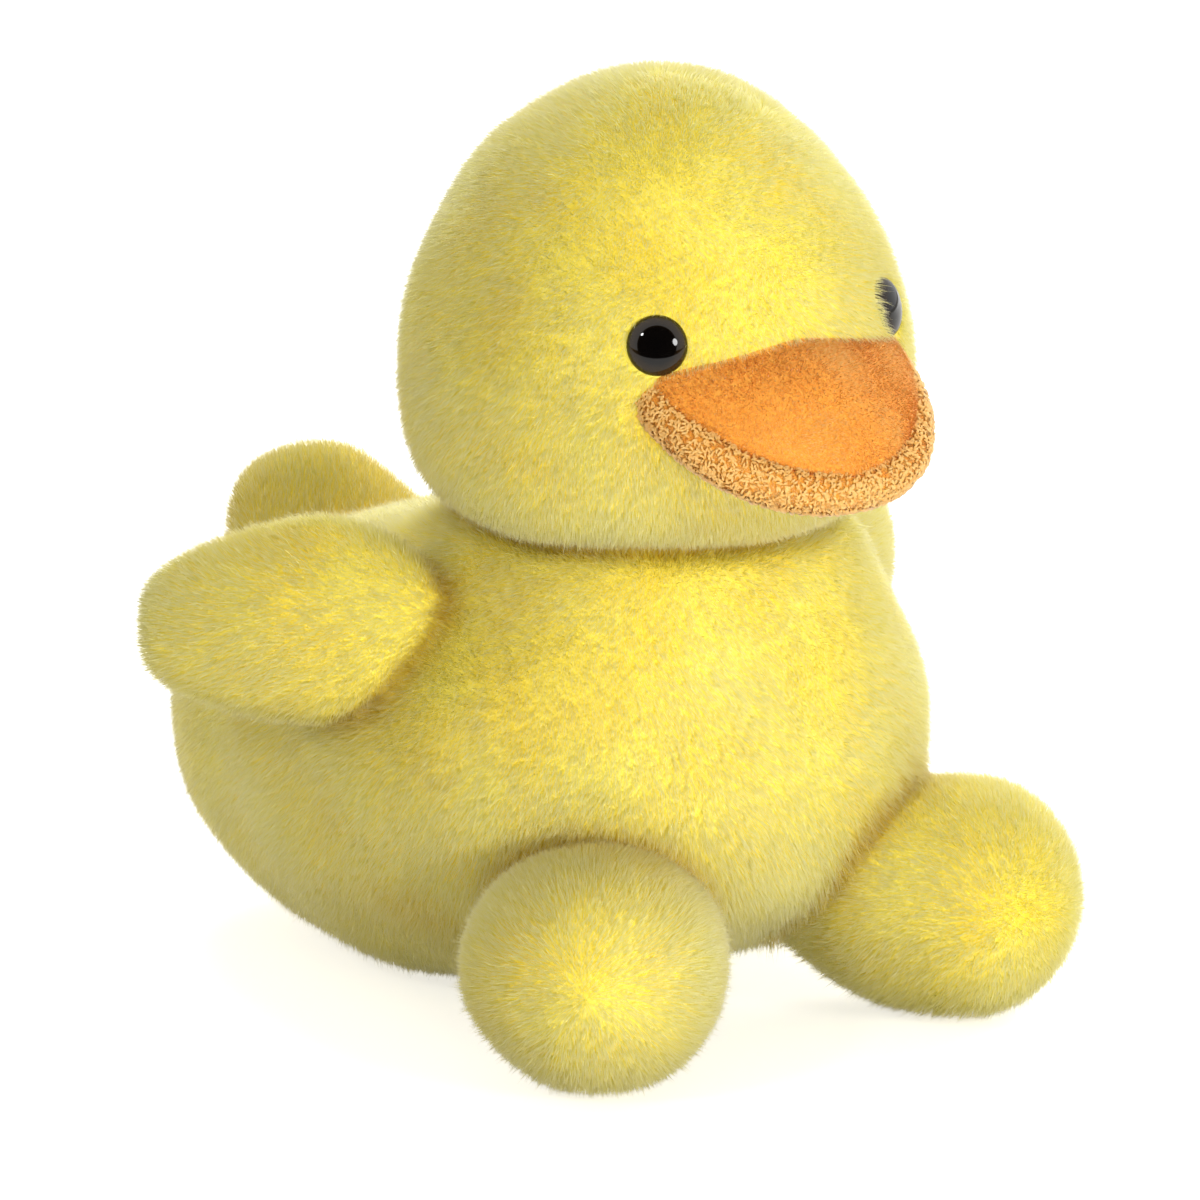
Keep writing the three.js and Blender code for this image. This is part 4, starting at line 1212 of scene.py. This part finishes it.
turn = np.linspace(CURL_START, CURL_STOP, CURL_STEPS)
thread = []
for i, angle in enumerate(turn):
    arch = math.cos(angle) * spin + (CURL_FOOT + CURL_ARCH * math.sin(angle)) * tall
    middle = points - CURL_SUNK * normals + reach * arch
    middle = middle + flat * reach * CURL_TWIST * (i / CURL_STEPS - 0.5)
    away = math.cos(angle) * spin + math.sin(angle) * tall
    girth = CURL_THREAD * (1 if 0 < i < CURL_STEPS - 1 else CURL_END)
    for side_turn in (0, 2 * math.pi / 3, 4 * math.pi / 3):
        thread.append(middle + girth * (math.cos(side_turn) * away + math.sin(side_turn) * flat))
vertices = np.stack(thread, axis=1)
corners = [
    [3 * i + j, 3 * i + (j + 1) % 3, 3 * i + 3 + (j + 1) % 3, 3 * i + 3 + j]
    for i in range(CURL_STEPS - 1)
    for j in range(3)
]
faces = (np.array(corners)[None] + 3 * CURL_STEPS * np.arange(count)[:, None, None]).reshape(-1, 4)
curls = mesh_object("bill_rim_curls", vertices.reshape(-1, 3), faces.tolist(), velour_curls)
spot = np.empty((count, 3 * CURL_STEPS, 2), np.float32)
spot[:, :, 0] = rng.uniform(*CURL_DYES, count)[:, None]
# Painted highlight on the arch and painted shade at the ends.
spot[:, :, 1] = np.repeat(FOOT_PAINTED_SHADE + ARCH_PAINTED_HIGHLIGHT * np.sin(np.clip(turn, 0, math.pi)), 3)
curls.data.uv_layers.new(name="OFBake").data.foreach_set("uv", spot.reshape(-1, 2)[faces.ravel()].ravel())
lit = unit(vertices - (points - CURL_HEART * normals)[:, None]).reshape(-1, 3)
lit = unit(CURL_OWN * lit + (1 - CURL_OWN) * np.repeat(normals, 3 * CURL_STEPS, axis=0))
curls.data.normals_split_custom_set_from_vertices(lit)
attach(curls, "head")
print("a curl has", 3 * CURL_STEPS, "vertices")

# %% [markdown]
# ## Washers
# The press-on washers behind the eyes can't be seen, but they are there in the model. They are moulded
# polyethylene: waxy white, half matt, and a little cloudy. The CAD solids are used as they are.

# %% Washers
CLOUD_SIZE = 3.33
polyethylene, tree = material("moulded_polyethylene")
place = node(tree, "ShaderNodeTexCoord").outputs["Object"]
cloud = node(tree, "ShaderNodeTexNoise", Vector=place, Scale=1 / (CLOUD_SIZE * MM))
whites = [(0.3, "#e9e9e4"), (0.7, "#f4f4f0")]
tone = node(tree, "ShaderNodeValToRGB", stops=whites, Fac=cloud.outputs["Fac"]).outputs["Color"]
waxy = node(tree, "ShaderNodeBsdfPrincipled", Base_Color=tone, Roughness=0.4, IOR=1.51)
node(tree, "ShaderNodeOutputMaterial", Surface=waxy.outputs[0])
for side_name in ("left", "right"):
    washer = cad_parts["eye_washer_" + side_name]
    washer.data.materials.clear()
    washer.data.materials.append(polyethylene)
print("washers: 2")

# %% [markdown]
# ## Pellet pouch
# A small bag of plastic pellets lies in the seat, so that the toy sits. It is unbleached calico, a
# plain weave: a warp and a weft thread go over each other by turns. Real threads lie 0.4 mm apart;
# they are drawn half as far apart again.

# %% Pellet pouch
THREAD_SPACING, THREAD_HEIGHT = 0.628, 0.1
POUCH_BACK, POUCH_LIFT = 25, 1.8
POUCH_HALF, POUCH_REACH, POUCH_HEIGHT = 18.6, 19.6, 10
POUCH_INSET, POUCH_FILL = 0.2, 0.5
WAVE_NODE_TURN = 2 * math.pi / 20  # at a scale of 1, the wave texture repeats after this length
calico, tree = material("woven_calico")
place = node(tree, "ShaderNodeTexCoord").outputs["Object"]
warp, weft = (
    node(
        tree,
        "ShaderNodeTexWave",
        {"bands_direction": way},
        Vector=place,
        Scale=WAVE_NODE_TURN / (THREAD_SPACING * MM),
    ).outputs["Fac"]
    for way in ("X", "Y")
)
weave = node(tree, "ShaderNodeMath", {"operation": "MAXIMUM"}, _0=warp, _1=weft).outputs[0]
unbleached = [(0.0, "#d2c6aa"), (1.0, "#e9dfc8")]
tone = node(tree, "ShaderNodeValToRGB", stops=unbleached, Fac=weave).outputs["Color"]
bump = node(tree, "ShaderNodeBump", Strength=0.4, Distance=THREAD_HEIGHT * MM, Height=weave)
matt = {"Roughness": 0.9, "Normal": bump.outputs[0]}
woven = node(tree, "ShaderNodeBsdfPrincipled", Base_Color=tone, **matt)
node(tree, "ShaderNodeOutputMaterial", Surface=woven.outputs[0])


def pouch_row(angle):
    plump = math.sin(angle) ** 0.5
    reach = POUCH_REACH * plump
    return [POUCH_HEIGHT / 2 * (1 - math.cos(angle)), 0, POUCH_HALF * plump, reach, reach]


pouch = Stuffed(
    SHIFT + (0, POUCH_BACK, POUCH_LIFT),
    (1, 0, 0),
    (0, 1, 0),
    (0, 0, 1),
    [pouch_row(angle) for angle in np.linspace(0, math.pi, 41)],
    rings=1,
    sides=80,
    lumps=0.3,
    seed=9,
)
pouch_cloth = cloth("pellet_pouch_cloth", pouch, POUCH_INSET, calico)
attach(pouch_cloth, "body")
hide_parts("pellet_pouch")
print("pouch", np.ptp(pouch.points, axis=(0, 1)).round(1), "mm")
